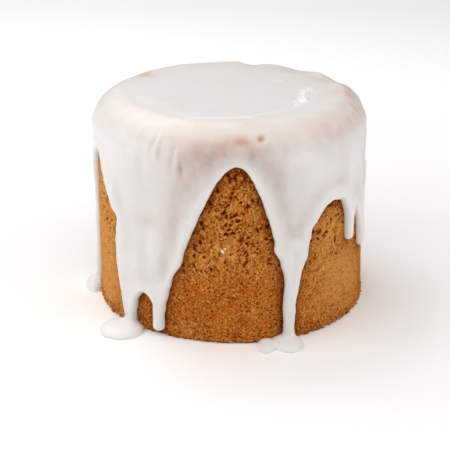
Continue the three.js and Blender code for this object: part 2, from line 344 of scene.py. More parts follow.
# Grains of dried sugar: their number, the stretch of the rim they lie on, how far in degrees those on the
# dried crust spread and are larger, their size, and the share of it that is sunk in
SUGAR_GRAINS = 160
SUGAR_STRETCH = (-12.0, 96.0)
SUGAR_SPREAD = 11.0
SUGAR_HEAVY = 16.0
SUGAR_SIZE = 0.2
GRAIN_SINK = 0.35
# Distances from the axis between which the rim is looked for, the number of tries, and a middle distance
RIM_SEARCH = (20.0, 70.0, 400)
RIM_MIDDLE = 45.0
# White flecks on the sponge: azimuth, height, size
FLECKS = ((-3.0, 53.0, 1.1), (-2.0, 54.4, 0.6), (113.0, 30.0, 0.8), (198.0, 48.0, 0.9))
# Small raised marks on the top: both ends in plan, number of grains, size of a grain
TOP_MARKS = (
    ((-37.2, -30.3), (-34.9, -28.9), 3, 0.45),
    ((-31.7, -54.7), (-24.4, -56.0), 4, 0.4),
    ((-16.4, -64.3), (-15.8, -64.7), 2, 0.6),
    ((-10.7, -53.0), (-8.7, -50.8), 3, 0.5),
    ((22.5, 13.6), (27.6, 17.2), 7, 0.6),
)

# How far the ragged foot of the sponge draws in, and up to which height
FOOT_TUCK = 1.3
FOOT_HEIGHT = 1.1
# Height up to which the crust crumbles towards the foot
FOOT_CRUMBLE = 9.0
# Height at which the crust starts to grow coarser, and the length over which it does
COARSE_START = 30.0
COARSE_LENGTH = 30.0
# How far the grain of the crust is bent, and how sharp it is
GRAIN_BEND = 0.9
GRAIN_SHARPNESS = 2.2
# Height of the lumps and depth of the crags of the crust, and the values of the pattern over which a crag
# starts and gets deep
LUMP_HEIGHT = 0.16
CRAG_DEPTH = 0.5
CRAG_START = 0.2
CRAG_LENGTH = 0.4
# Share of bare crust right at the edge of the icing, and the distance over which it fades
BARE_AT_EDGE = 0.6
BARE_FADE = 2.5
# Heights between which pores are drawn, how many for each square millimetre, and their sizes as
# shares of the largest radius
PORE_LOW = 0.6
PORE_TOP = 104.0
PORE_COUNT = 0.34
PORE_LEAST = 0.44
PORE_SPREAD = 0.75
# Width of the dark band beside the icing, partly damp crumb and partly painted shade under the icing's
# edge, and how much it varies
DAMP_SHADE_WIDTH = 3.4
DAMP_SHADE_SPREAD = 1.6
# Colours that multiply the dark band beside the icing and at the foot, partly damp and partly painted
# shade, and the brownest crust
DAMP_SHADE = (0.32, 0.19, 0.08, 1.0)
BROWN_TONE = (0.86, 0.8, 0.76, 1.0)
# Fineness of the grain in the colour of the sponge and of its loose crumbs, and how far in metres the
# specks are bent
SPONGE_GRAIN = 1050.0
CRUMB_GRAIN = 900.0
SPECK_BEND = 0.0014
# How raised the loose crumbs are in colour, their number and their sizes
LOOSE_RAISED = 0.35
LOOSE_CRUMBS = 1500
CRUMB_LEAST = 0.34
CRUMB_SPREAD = 0.6
# Share of them that lies on the ground, and heights between which the others cling to the sponge
GROUND_SHARE = 0.15
CRUMB_LOW = 0.8
CRUMB_TOP = 5.0
# Distance that they keep from the icing, and the height at which it is measured
CRUMB_CLEAR = 2.5
CRUMB_LINE = 2.0
# The sponge under the icing: how far its rounded edge runs past its height, as a share of the edge's size,
# how far the top runs in from there, and the rows of points on both
ROUND_SHARE = 0.7
TOP_REACH = 54.0
ROUND_ROWS = 26
TOP_ROWS = 12
# Most triangles of a piece
MOST_TRIANGLES = 190000

# Paler places of the sponge, partly less browned crust and partly painted light on the sides that face the
# lamps, with painted shade low at the front: azimuth, height, half width, half length, share
PALE_AND_LIT_PLACES = (
    (-70.0, 56.0, 22.0, 26.0, 1.5),
    (-68.0, 18.0, 20.0, 18.0, 1.0),
    (-6.0, 52.0, 16.0, 6.0, 0.35),
    (0.0, 14.0, 34.0, 20.0, -0.2),
    (56.0, 24.0, 26.0, 26.0, 0.6),
    (44.0, 57.0, 14.0, 10.0, 0.55),
    (120.0, 50.0, 14.0, 10.0, 0.4),
    (190.0, 40.0, 18.0, 12.0, 0.35),
    (245.0, 58.0, 14.0, 14.0, 0.4),
)

# Places of the sponge with more pores or fewer: azimuth, height, half width, half length, share
PORE_PLACES = (
    (1.0, 33.0, 11.0, 15.0, 0.9),
    (-70.0, 50.0, 26.0, 46.0, -0.9),
    (52.0, 58.0, 18.0, 16.0, -0.7),
)

# Camera: place in metres, turn and downward tilt in degrees, and width of its sensor in millimetres
CAMERA_PLACE = (0.0, -0.700, 0.31572)
CAMERA_YAW = -0.3105
CAMERA_PITCH = 21.627
SENSOR_WIDTH = 36.0
# Soft lights: name, azimuth and elevation in degrees, distance and size in metres, setting, colour
LIGHTS = (
    ("Left light", -67.0, 33.0, 0.9, 0.65, "left_power", (1.0, 0.995, 0.99)),
    ("Right light", 69.0, 28.0, 0.9, 0.65, "right_power", (1.0, 0.995, 0.99)),
    ("Front light", 0.0, 58.0, 1.0, 0.8, "front_power", (1.0, 0.99, 0.98)),
    ("Back light", -140.0, 50.0, 1.0, 0.8, "back_power", (1.0, 1.0, 1.0)),
    ("Top light", 0.0, 90.0, 1.2, 1.6, "top_power", (1.0, 1.0, 1.0)),
)
# Place in metres that the lights face
LIGHT_AIM = (0.0, 0.0, 0.05)
# Floor: half its width, strength of its glow, which lights the cake from below as painted fill light,
# colours of the glow near the cake, dimmer and warm as a painted bounce, and away from it, and the
# distances in metres between which it changes
FLOOR_HALF = 3000.0
FLOOR_GLOW = 0.4
FLOOR_BOUNCE_NEAR = (0.42, 0.39, 0.36, 1.0)
FLOOR_AWAY = (1.0, 1.0, 1.0, 1.0)
FLOOR_FADE = (0.12, 0.45)

# Uneven patterns: size of a cell along and up, and the seed of its draw
PATTERNS = {
    "crumb": (1.5, 1.8, 11),
    "fine crumb": (0.9, 1.0, 12),
    "lumps": (6.0, 5.0, 13),
    "small lumps": (3.2, 2.8, 14),
    "pore clumps": (9.0, 7.0, 15),
    "damp edge": (5.0, 5.0, 16),
    "baking": (14.0, 9.0, 17),
    "crags": (1.7, 1.9, 18),
    "small crags": (1.0, 1.1, 19),
    "pore edges": (1.3, 1.2, 20),
    "bend across": (2.6, 2.6, 22),
    "bend up": (2.6, 2.6, 23),
    "ragged foot": (2.2, 1.6, 31),
    "slow flow": (20.0, 24.0, 41),
    "flow": (9.0, 13.0, 42),
    "streaks": (4.0, 16.0, 43),
    "fine streaks": (2.2, 9.0, 44),
    "top ripples": (22.0, 18.0, 45),
    "small top ripples": (8.0, 8.0, 46),
    "pool rim": (9.0, 1.0, 47),
    "crust lumps": (3.2, 3.2, 48),
    "dimples": (3.6, 3.6, 49),
    "crust grains": (1.9, 1.9, 50),
    "edge waves": (7.0, 6.0, 51),
    "edge ripples": (3.2, 3.0, 52),
    "blotches": (14.0, 7.0, 53),
    "small blotches": (6.0, 4.0, 54),
    "bead": (15.0, 13.0, 55),
    "broken lip": (4.0, 1.0, 56),
    "crust wiggle": (7.0, 1.0, 57),
    "clouds": (26.0, 11.0, 58),
}
# Width after which the patterns on the top repeat
TOP_PERIOD = 400.0


class CakeSpongeSettings(bpy.types.PropertyGroup):
    """Sizes and colours of the sponge"""
    base_radius: bpy.props.FloatProperty(
        name="Base Radius", description="Radius of the sponge at its foot", default=0.075, unit="LENGTH")
    top_radius: bpy.props.FloatProperty(
        name="Top Radius", description="Radius of the sponge at its top", default=0.0735, unit="LENGTH")
    height: bpy.props.FloatProperty(
        name="Height", description="Height of the sponge", default=0.116, unit="LENGTH")
    lean: bpy.props.FloatProperty(
        name="Lean", description="Sideways shift of the top", default=-0.0015, unit="LENGTH")
    shoulder: bpy.props.FloatProperty(
        name="Shoulder", description="Radius of the rounded upper edge", default=0.0145, unit="LENGTH")
    shoulder_skew: bpy.props.FloatProperty(
        name="Shoulder Skew", description="How much rounder the left upper edge is", default=0.2,
        subtype="FACTOR")
    pore_radius: bpy.props.FloatProperty(
        name="Pore Radius", description="Radius of the largest pores", default=0.00085, unit="LENGTH")
    pore_depth: bpy.props.FloatProperty(
        name="Pore Depth", description="Depth of a pore for its radius", default=0.9, subtype="FACTOR")
    crumb_height: bpy.props.FloatProperty(
        name="Crumb Height", description="Height of the grain of the crust",
        default=0.00022, unit="LENGTH")
    step: bpy.props.FloatProperty(
        name="Mesh Step", description="Distance between points of the side",
        default=0.00044, unit="LENGTH")
    crust_colour: bpy.props.FloatVectorProperty(
        name="Crust", description="Browned crust",
        subtype="COLOR", size=4, default=(0.85, 0.262, 0.025, 1.0))
    # Painted highlight: the golden colour also paints the glints on the crumb edges.
    crumb_colour: bpy.props.FloatVectorProperty(
        name="Crumb", description="Raised golden crumbs", subtype="COLOR", size=4,
        default=(1.0, 0.56, 0.20, 1.0))
    # Painted light: the pale colour also brightens the sides of the sponge that face the lamps.
    pale_lit_colour: bpy.props.FloatVectorProperty(
        name="Pale Crust", description="Crust that is less browned", subtype="COLOR", size=4,
        default=(1.0, 0.43, 0.095, 1.0))
    # Painted shade: the sunken crumb round the pores and the small specks take this colour, partly browned
    # crumb and partly shade in the hollows.
    burnt_shade_colour: bpy.props.FloatVectorProperty(
        name="Burnt Crumb", description="Colour of the sunken crumb round the pores",
        subtype="COLOR", size=4,
        default=(0.44, 0.075, 0.003, 1.0))
    # Painted shade: the bottoms of the pores and the darkest specks take this colour.
    pore_shade_colour: bpy.props.FloatVectorProperty(
        name="Pores", description="Bottom of the pores", subtype="COLOR", size=4,
        default=(0.16, 0.026, 0.001, 1.0))


class CakeIcingSettings(bpy.types.PropertyGroup):
    """Sizes and colours of the icing"""
    top_film: bpy.props.FloatProperty(
        name="Top Film", description="Thickness of the icing on the top", default=0.0028, unit="LENGTH")
    wall_film: bpy.props.FloatProperty(
        name="Side Film", description="Thickness of the icing on the side", default=0.0020, unit="LENGTH")
    shoulder_thinning: bpy.props.FloatProperty(
        name="Shoulder Thinning", description="Loss of thickness on the rounded edge", default=0.0005,
        unit="LENGTH")
    roll_film: bpy.props.FloatProperty(
        name="Roll", description="Extra thickness below the left upper edge",
        default=0.0008, unit="LENGTH")
    edge_rounding: bpy.props.FloatProperty(
        name="Edge Rounding", description="Width of the rounded edge of a drip",
        default=0.0022, unit="LENGTH")
    bead: bpy.props.FloatProperty(
        name="Bead", description="Extra thickness along the edges of the drips",
        default=0.0009, unit="LENGTH")
    embed: bpy.props.FloatProperty(
        name="Embed", description="Depth to which the icing soaks into the sponge", default=0.0012,
        unit="LENGTH")
    step: bpy.props.FloatProperty(
        name="Mesh Step", description="Distance between points of the icing",
        default=0.00062, unit="LENGTH")
    icing_colour: bpy.props.FloatVectorProperty(
        name="Icing", description="Thick icing",
        subtype="COLOR", size=4, default=(0.90, 0.876, 0.86, 1.0))
    thin_colour: bpy.props.FloatVectorProperty(
        name="Thin Icing", description="Icing with the sponge showing through", subtype="COLOR", size=4,
        default=(0.66, 0.34, 0.21, 1.0))
    # Painted light: this whiter colour also brightens the pools and thick drips.
    thick_lit_colour: bpy.props.FloatVectorProperty(
        name="Thick Icing", description="Icing too thick for anything to show through",
        subtype="COLOR", size=4,
        default=(0.97, 0.952, 0.94, 1.0))
    cream_colour: bpy.props.FloatVectorProperty(
        name="Cream", description="Icing that is only a little thin", subtype="COLOR", size=4,
        default=(0.875, 0.768, 0.70, 1.0))
    # Painted shade: this grey-brown colour shades the icing on the side, partly as glassy thin icing.
    glassy_shade_colour: bpy.props.FloatVectorProperty(
        name="Glassy Icing", description="Icing that has turned glassy on the side",
        subtype="COLOR", size=4,
        default=(0.52, 0.395, 0.35, 1.0))


class CakeStageSettings(bpy.types.PropertyGroup):
    """Camera, floor and light"""
    focal_length: bpy.props.FloatProperty(
        name="Focal Length", description="Lens of the camera in millimetres", default=105.09)
    floor_colour: bpy.props.FloatVectorProperty(
        name="Floor", description="Colour of the floor",
        subtype="COLOR", size=4, default=(0.9, 0.9, 0.9, 1.0))
    left_power: bpy.props.FloatProperty(
        name="Left Light", description="Power of the soft light on the left", default=2.9, unit="POWER")
    right_power: bpy.props.FloatProperty(
        name="Right Light", description="Power of the soft light on the right", default=2.5, unit="POWER")
    back_power: bpy.props.FloatProperty(
        name="Back Light", description="Power of the soft light behind", default=3.8, unit="POWER")
    top_power: bpy.props.FloatProperty(
        name="Top Light", description="Power of the soft light above", default=6.0, unit="POWER")
    front_power: bpy.props.FloatProperty(
        name="Front Light", description="Power of the soft light in front", default=2.2, unit="POWER")
    ambient: bpy.props.FloatProperty(
        name="Ambient", description="Strength of the light from all round", default=0.02)


def turn_from(turn, azimuth):
    """Degrees from an azimuth to turns in radians, from -180 to 180."""
    return (np.degrees(turn) - azimuth + 540.0) % 360.0 - 180.0


def rising(value, start, length):
    """0 up to a start, then rising evenly to 1 over a length."""
    return np.clip((value - start) / length, 0.0, 1.0)


def soft_step(value):
    """1 well below zero and 0 well above it, with a soft step between."""
    return 1.0 / (1.0 + np.exp(np.clip(value, -40.0, 40.0)))


class CakeForm:
    """The cake's surfaces in millimetres, worked out from the settings."""

    def __init__(self, scene):
        sponge = scene.cake_sponge
        icing = scene.cake_icing
        self.base_radius = sponge.base_radius / MM
        self.top_radius = sponge.top_radius / MM
        self.height = sponge.height / MM
        self.lean = sponge.lean / MM
        self.shoulder = sponge.shoulder / MM
        self.skew = sponge.shoulder_skew
        self.top_film = icing.top_film / MM
        self.wall_film = icing.wall_film / MM
        self.thinning = icing.shoulder_thinning / MM
        self.roll = icing.roll_film / MM
        self.rounding = icing.edge_rounding / MM
        self.bead = icing.bead / MM
        self.embed = icing.embed / MM
        self.arc = math.radians(self.base_radius)
        self.girth = 360.0 * self.arc
        self.outline = self.lower_outline()
        if self.base_radius not in EDGE_MAPS:
            EDGE_MAPS[self.base_radius] = self.measure_edges(EDGE_STEP)
        self.edge_map = EDGE_MAPS[self.base_radius]

    def wall_radius(self, turn, z):
        """Radius of the side at an azimuth in radians and a height."""
        radius = self.base_radius + (self.top_radius - self.base_radius) * z / self.height
        for count, height, sense in WAVES:
            radius = radius + height * np.sin(count * turn + sense * z / WAVE_PITCH)
        return radius

    def stretches(self, turn):
        """Size of the rounded edge, and the runs at which the side and the rounded edge end."""
        reach = self.shoulder * (1.0 - self.skew * np.sin(turn))
        side = self.height - reach
        return reach, side, side + reach * math.pi / 2.0

    def place(self, turn, run):
        """Point and normal of the sponge surface at a run, the length of the way up from the ground."""
        reach, side, round_end = self.stretches(turn)
        bend = np.clip((round_end - run) / reach, 0.0, math.pi / 2.0)
        z = np.where(run <= side, run, side + reach * np.cos(bend))
        radius = self.wall_radius(turn, z) - reach * (1.0 - np.sin(bend))
        radius = np.where(run > round_end, np.maximum(radius - (run - round_end), 0.0), radius)
        x = self.lean * z / self.height + radius * np.sin(turn)
        point = np.stack([x, -radius * np.cos(turn), z], axis=-1)
        out = np.sin(bend)
        normal = np.stack([out * np.sin(turn), -out * np.cos(turn), np.cos(bend)], axis=-1)
        return point, normal

    def locate(self, point):
        """Azimuth, run, height above the sponge surface and tilt of points in space."""
        z = point[..., 2]
        x = point[..., 0] - self.lean * np.clip(z, 0.0, self.height) / self.height
        radius = np.hypot(x, point[..., 1])
        turn = np.arctan2(x, -point[..., 1])
        wall = self.wall_radius(turn, np.clip(z, 0.0, self.height))
        reach, side, round_end = self.stretches(turn)
        sideways = radius - (wall - reach)
        upward = z - side
        bend = np.arctan2(np.maximum(sideways, 0.0), np.maximum(upward, 0.0))
        over = np.hypot(np.maximum(sideways, 0.0), np.maximum(upward, 0.0)) - reach
        on_top = (sideways <= 0.0) & (upward > 0.0)
        on_side = upward <= 0.0
        run = round_end - bend * reach
        run = np.where(on_top, round_end - sideways, np.where(on_side, z, run))
        lift = np.where(on_top, z - self.height, np.where(on_side, radius - wall, over))
        tilt = np.where(on_top, 0.0, np.where(on_side, math.pi / 2.0, bend))
        return turn, run, lift, tilt

    def lower_outline(self):
        """Lower outline of the icing as azimuth in degrees and height, from arch to drip to arch."""
        outline = []
        for number, (azimuth, half, tip, _, necks, bows, arch) in enumerate(DRIPS):
            before = DRIPS[number - 1][6]
            start = (before[0] - 360.0, before[1]) if number == 0 else before
            share = np.linspace(0.0, 1.0, 60)
            sides = []
            for sign, (end, top), neck, bow in zip((-1, 1), (start, arch), necks, bows):
                foot = azimuth + sign * (half + FLANK_STEP) / self.arc
                rise = 1.0 - (1.0 - share) ** bow
                sides.append(np.stack([foot + (end - foot) * share, neck + (top - neck) * rise], axis=1))
            swing = np.radians(np.linspace(-90.0, 90.0, 31))
            round_tip = np.stack([azimuth + half * np.sin(swing) / self.arc,
                                  tip + half * (1.0 - np.cos(swing))], axis=1)
            outline += [sides[0][::-1], round_tip, sides[1]]
        return np.concatenate(outline)

    def measure_edges(self, step):
        """Signed distance to the lower outline over the unrolled surface, positive on the icing."""
        across = self.outline[:, 0] * self.arc
        ends = np.stack([across, self.outline[:, 1]], axis=1)
        lengths = np.linalg.norm(np.diff(ends, axis=0), axis=1)
        way = np.concatenate([[0.0], np.cumsum(lengths)])
        steps = np.arange(0.0, way[-1], step * 0.6)
        points = np.stack([np.interp(steps, way, ends[:, 0]), np.interp(steps, way, ends[:, 1])], axis=1)
        tree = kdtree.KDTree(3 * len(points))
        for copy, shift in enumerate((-self.girth, 0.0, self.girth)):
            for index, (u, v) in enumerate(points):
                tree.insert((u + shift, v, 0.0), copy * len(points) + index)
        tree.balance()
        columns = int(round(self.girth / step))
        rows = int(EDGE_MAP_REACH / step)
        u = -self.girth / 2.0 + np.arange(columns) * self.girth / columns
        v = EDGE_MAP_LOW + np.arange(rows) * step
        height = np.interp(u, across, self.outline[:, 1], period=self.girth)
        distance = np.empty((columns, rows))
        for i, place_u in enumerate(u):
            distance[i] = [tree.find((place_u, place_v, 0.0))[2] for place_v in v]
        distance[v[None, :] < height[:, None]] *= -1.0
        return distance, step, columns, rows

    def edge_distance(self, turn, run):
        """Signed distance to the lower outline, read from the measured map."""
        distance, step, columns, rows = self.edge_map
        u = (turn * self.base_radius + self.girth / 2.0) / self.girth * columns
        v = np.clip((run - EDGE_MAP_LOW) / step, 0.0, rows - 1.001)
        i = np.floor(u).astype(int)
        j = np.floor(v).astype(int)
        a = u - i
        b = v - j
        low = distance[i % columns, j] * (1.0 - a) + distance[(i + 1) % columns, j] * a
        high = distance[i % columns, j + 1] * (1.0 - a) + distance[(i + 1) % columns, j + 1] * a
        return low * (1.0 - b) + high * b

    def pattern(self, name, u, v):
        """One of the uneven patterns over the unrolled side, from -1 to 1."""
        return smooth_noise(u, v, *PATTERNS[name], self.girth)

    def patch(self, turn, run, azimuth, height, half_width, half_length):
        """A soft spot on the unrolled surface, 1 in its middle."""
        offset = turn_from(turn, azimuth) * self.arc
        return np.exp(-(offset / half_width) ** 2 - ((run - height) / half_length) ** 2)

    def with_patches(self, value, turn, run, places, sign=1.0):
        """A value to which soft spots are added, or from which they are taken."""
        for azimuth, height, half_width, half_length, amount in places:
            spot = self.patch(turn, run, azimuth, height, half_width, half_length)
            value = value + sign * amount * spot
        return value

    def film(self, turn, run, tilt):
        """Thickness of the icing away from its edges, with its thick and thin places."""
        _, side, _ = self.stretches(turn)
        thick = self.wall_film + (self.top_film - self.wall_film) * np.cos(tilt) ** 2
        thick = thick - self.thinning * np.sin(2.0 * tilt) ** 2
        lean = (np.degrees(tilt) - ROLL_TILT) / ROLL_WIDTH
        roll = self.roll * np.maximum(0.0, -np.sin(turn)) * np.exp(-lean ** 2)
        thick = thick + roll * np.exp(-np.maximum(0.0, side - run) / ROLL_LENGTH)
        swell = np.zeros_like(thick)
        for azimuth, half, tip, extra, _, _, _ in DRIPS:
            offset = np.abs(turn_from(turn, azimuth)) * self.arc
            height = np.maximum(0.0, run - tip)
            swell = np.maximum(swell, extra * np.exp(-(offset / half) ** 2 - height / SWELL_LENGTH))
        thick = self.with_patches(thick, turn, run, LUMPS)
        return self.with_patches(thick, turn, run, THIN_PLACES, -1.0) + swell

    def drops(self, turn, run):
        """How far a place belongs to the round drop at the end of a hanging drip, from 0 to 1."""
        share = np.zeros_like(run)
        for azimuth, half, tip, _, _, _, _ in DRIPS:
            if tip > RUN_FOOT:
                drop = self.patch(turn, run, azimuth, tip + 0.5 * half, 2.0 * half, 2.2 * half)
                share = np.maximum(share, drop)
        return share

    def edge_film(self, turn, run, edge):
        """Extra thickness in the uneven bead along the edges, and the loss in the hollow behind it."""
        uneven = 1.0 + BEAD_UNEVEN * self.pattern("bead", turn * self.base_radius, run)
        bead = np.exp(-(np.maximum(edge, 0.0) / (BEAD_WIDTH * uneven)) ** BEAD_POWER)
        hollow = np.exp(-((edge - HOLLOW_PLACE) / HOLLOW_WIDTH) ** 2)
        return self.bead * uneven * bead - HOLLOW_DEPTH * hollow

    def uneven_edge(self, turn, run):
        """Distance to the lower edge of the icing with its bumps, notches and small waves."""
        u = turn * self.base_radius
        edge = self.edge_distance(turn, run)
        for azimuth, height, size, push in EDGE_BUMPS:
            edge = edge + push * self.patch(turn, run, azimuth, height, size, size)
        wave = EDGE_WAVE * self.pattern("edge waves", u, run)
        wave = wave + EDGE_WAVE * self.pattern("edge ripples", u, run)
        return edge + wave * np.clip(run / EDGE_CALM, 0.15, 1.0)


def smooth_noise(u, v, cell_u, cell_v, seed, period):
    """Smooth noise from -1 to 1 that repeats along u after a period."""
    count = max(3, int(round(period / cell_u)))
    x = (u / period * count) % count
    y = v / cell_v
    low = math.floor(float(np.min(y)))
    rows = math.floor(float(np.max(y))) - low + 2
    table = np.random.default_rng(seed).uniform(-1.0, 1.0, (count, rows))
    i = np.floor(x).astype(int) % count
    j = np.floor(y).astype(int) - low
    a = x - np.floor(x)
    b = y - np.floor(y)
    a = a * a * (3.0 - 2.0 * a)
    b = b * b * (3.0 - 2.0 * b)
    k = (i + 1) % count
    low_edge = table[i, j] * (1.0 - a) + table[k, j] * a
    high_edge = table[i, j + 1] * (1.0 - a) + table[k, j + 1] * a
    return low_edge * (1.0 - b) + high_edge * b


def top_pattern(name, x, y):
    """One of the uneven patterns over the plan of the top, from -1 to 1."""
    return smooth_noise(x, y, *PATTERNS[name], TOP_PERIOD)


def mesh_object(name, points, faces, material, smooth=True):
    """A mesh object from points in millimetres and faces of equal length."""
    mesh = bpy.data.meshes.new(name)
    faces = np.asarray(faces, dtype=np.int32)
    corners = faces.shape[1]
    mesh.vertices.add(len(points))
    mesh.vertices.foreach_set("co", (np.asarray(points, dtype=np.float32) * MM).ravel())
    mesh.loops.add(faces.size)
    mesh.loops.foreach_set("vertex_index", faces.ravel())
    mesh.polygons.add(len(faces))
    mesh.polygons.foreach_set("loop_start", np.arange(0, faces.size, corners, dtype=np.int32))
    mesh.update(calc_edges=True)
    mesh.validate()
    mesh.polygons.foreach_set("use_smooth", np.full(len(mesh.polygons), smooth))
    mesh.materials.append(material)
    piece = bpy.data.objects.new(name, mesh)
    bpy.context.scene.collection.objects.link(piece)
    return piece


def mesh_points(mesh):
    """The points of a mesh in millimetres."""
    flat = np.empty(3 * len(mesh.vertices))
    mesh.vertices.foreach_get("co", flat)
    return flat.reshape(-1, 3) / MM


def settle_modifiers(piece):
    """Replaces the mesh of a piece by the result of its modifiers."""
    graph = bpy.context.evaluated_depsgraph_get()
    mesh = bpy.data.meshes.new_from_object(piece.evaluated_get(graph))
    old = piece.data
    piece.modifiers.clear()
    piece.data = mesh
    mesh.name = old.name
    bpy.data.meshes.remove(old)
    mesh.polygons.foreach_set("use_smooth", np.ones(len(mesh.polygons), dtype=bool))
    return mesh


def thin_out(piece, most):
    """Joins flat faces until a piece has no more than a number of triangles."""
    triangles = sum(len(face.vertices) - 2 for face in piece.data.polygons)
    if triangles > most:
        decimate = piece.modifiers.new("Thin out", "DECIMATE")
        decimate.ratio = most / triangles


def add_value(mesh, name, values):
    """Stores one number for each point of a mesh, for its material."""
    attribute = mesh.attributes.new(name, "FLOAT", "POINT")
    attribute.data.foreach_set("value", np.asarray(values, dtype=np.float32))


def field_skin(field, low, step):
    """Points and four-sided faces of the surface where a field over a box of points is zero."""
    inside = field < 0.0
    shape = np.array(field.shape) - 1
    offsets = np.array(list(itertools.product((0, 1), repeat=3)))
    count = np.zeros(shape, dtype=np.uint8)
    for a, b, c in offsets:
        count += inside[a:a + shape[0], b:b + shape[1], c:c + shape[2]]
    cells = np.argwhere((count > 0) & (count < 8))
    number = np.full(shape, -1, dtype=np.int32)
    number[tuple(cells.T)] = np.arange(len(cells))
    corner = np.stack([field[tuple((cells + offset).T)] for offset in offsets], axis=1)
    total = np.zeros((len(cells), 3))
    hits = np.zeros(len(cells))
    for first, second in itertools.combinations(range(8), 2):
        along = offsets[second] - offsets[first]
        if np.abs(along).sum() != 1:
            continue
        crossed = (corner[:, first] < 0.0) != (corner[:, second] < 0.0)
        gap = np.where(crossed, corner[:, first] - corner[:, second], 1.0)
        share = np.where(crossed, corner[:, first] / gap, 0.0)
        total += crossed[:, None] * (offsets[first] + share[:, None] * along)
        hits += crossed
    points = low + step * (cells + total / hits[:, None])
    faces = []
    for axis in range(3):
        one, two = [other for other in range(3) if other != axis]
        near = [slice(1, -1)] * 3
        far = [slice(1, -1)] * 3
        near[axis] = slice(0, -1)
        far[axis] = slice(1, None)
        start = inside[tuple(near)]
        changed = np.argwhere(start != inside[tuple(far)])
        leaves = start[tuple(changed.T)]
        base = changed.copy()
        base[:, one] += 1
        base[:, two] += 1
        ring = []
        for back_one, back_two in ((1, 1), (0, 1), (0, 0), (1, 0)):
            cell = base.copy()
            cell[:, one] -= back_one
            cell[:, two] -= back_two
            ring.append(number[tuple(cell.T)])
        quad = np.stack(ring, axis=1)
        flip = leaves if axis == 1 else ~leaves
        quad[flip] = quad[flip][:, ::-1]
        faces.append(quad)
    return points, np.concatenate(faces)


def shader_node(tree, kind, **values):
    """A node with some of its inputs and settings filled in."""
    node = tree.nodes.new(kind)
    for key, value in values.items():
        if key in node.inputs:
            node.inputs[key].default_value = value
        else:
            setattr(node, key, value)
    return node


def colour_mix(tree, share, first, second, blend="MIX"):
    """A colour mix of two sockets or colours by a share."""
    mix = shader_node(tree, "ShaderNodeMix", data_type="RGBA", blend_type=blend)
    for socket, source in ((mix.inputs[0], share), (mix.inputs[6], first), (mix.inputs[7], second)):
        if isinstance(source, bpy.types.NodeSocket):
            tree.links.new(source, socket)
        else:
            socket.default_value = source
    return mix.outputs[2]


def spread(tree, source, low, high, to_low=0.0, to_high=1.0):
    """A value of one range spread over another."""
    node = shader_node(tree, "ShaderNodeMapRange", clamp=True)
    node.inputs[1].default_value = low
    node.inputs[2].default_value = high
    node.inputs[3].default_value = to_low
    node.inputs[4].default_value = to_high
    tree.links.new(source, node.inputs[0])
    return node.outputs[0]


def added(tree, first, second):
    """The sum of two values."""
    node = shader_node(tree, "ShaderNodeMath", operation="ADD")
    tree.links.new(first, node.inputs[0])
    tree.links.new(second, node.inputs[1])
    return node.outputs[0]


def multiplied(tree, first, second):
    """The product of two values."""
    node = shader_node(tree, "ShaderNodeMath", operation="MULTIPLY")
    tree.links.new(first, node.inputs[0])
    tree.links.new(second, node.inputs[1])
    return node.outputs[0]


def texture(tree, kind, **values):
    """A texture node over the coordinates of the piece itself."""
    where = tree.nodes.new("ShaderNodeTexCoord")
    node = shader_node(tree, kind, **values)
    tree.links.new(where.outputs["Object"], node.inputs["Vector"])
    return node


def add_bump(tree, surface, height, strength, distance):
    """Roughens a surface by a height, without moving its points."""
    bump = shader_node(tree, "ShaderNodeBump", Strength=strength, Distance=distance)
    tree.links.new(height, bump.inputs["Height"])
    tree.links.new(bump.outputs["Normal"], surface.inputs["Normal"])


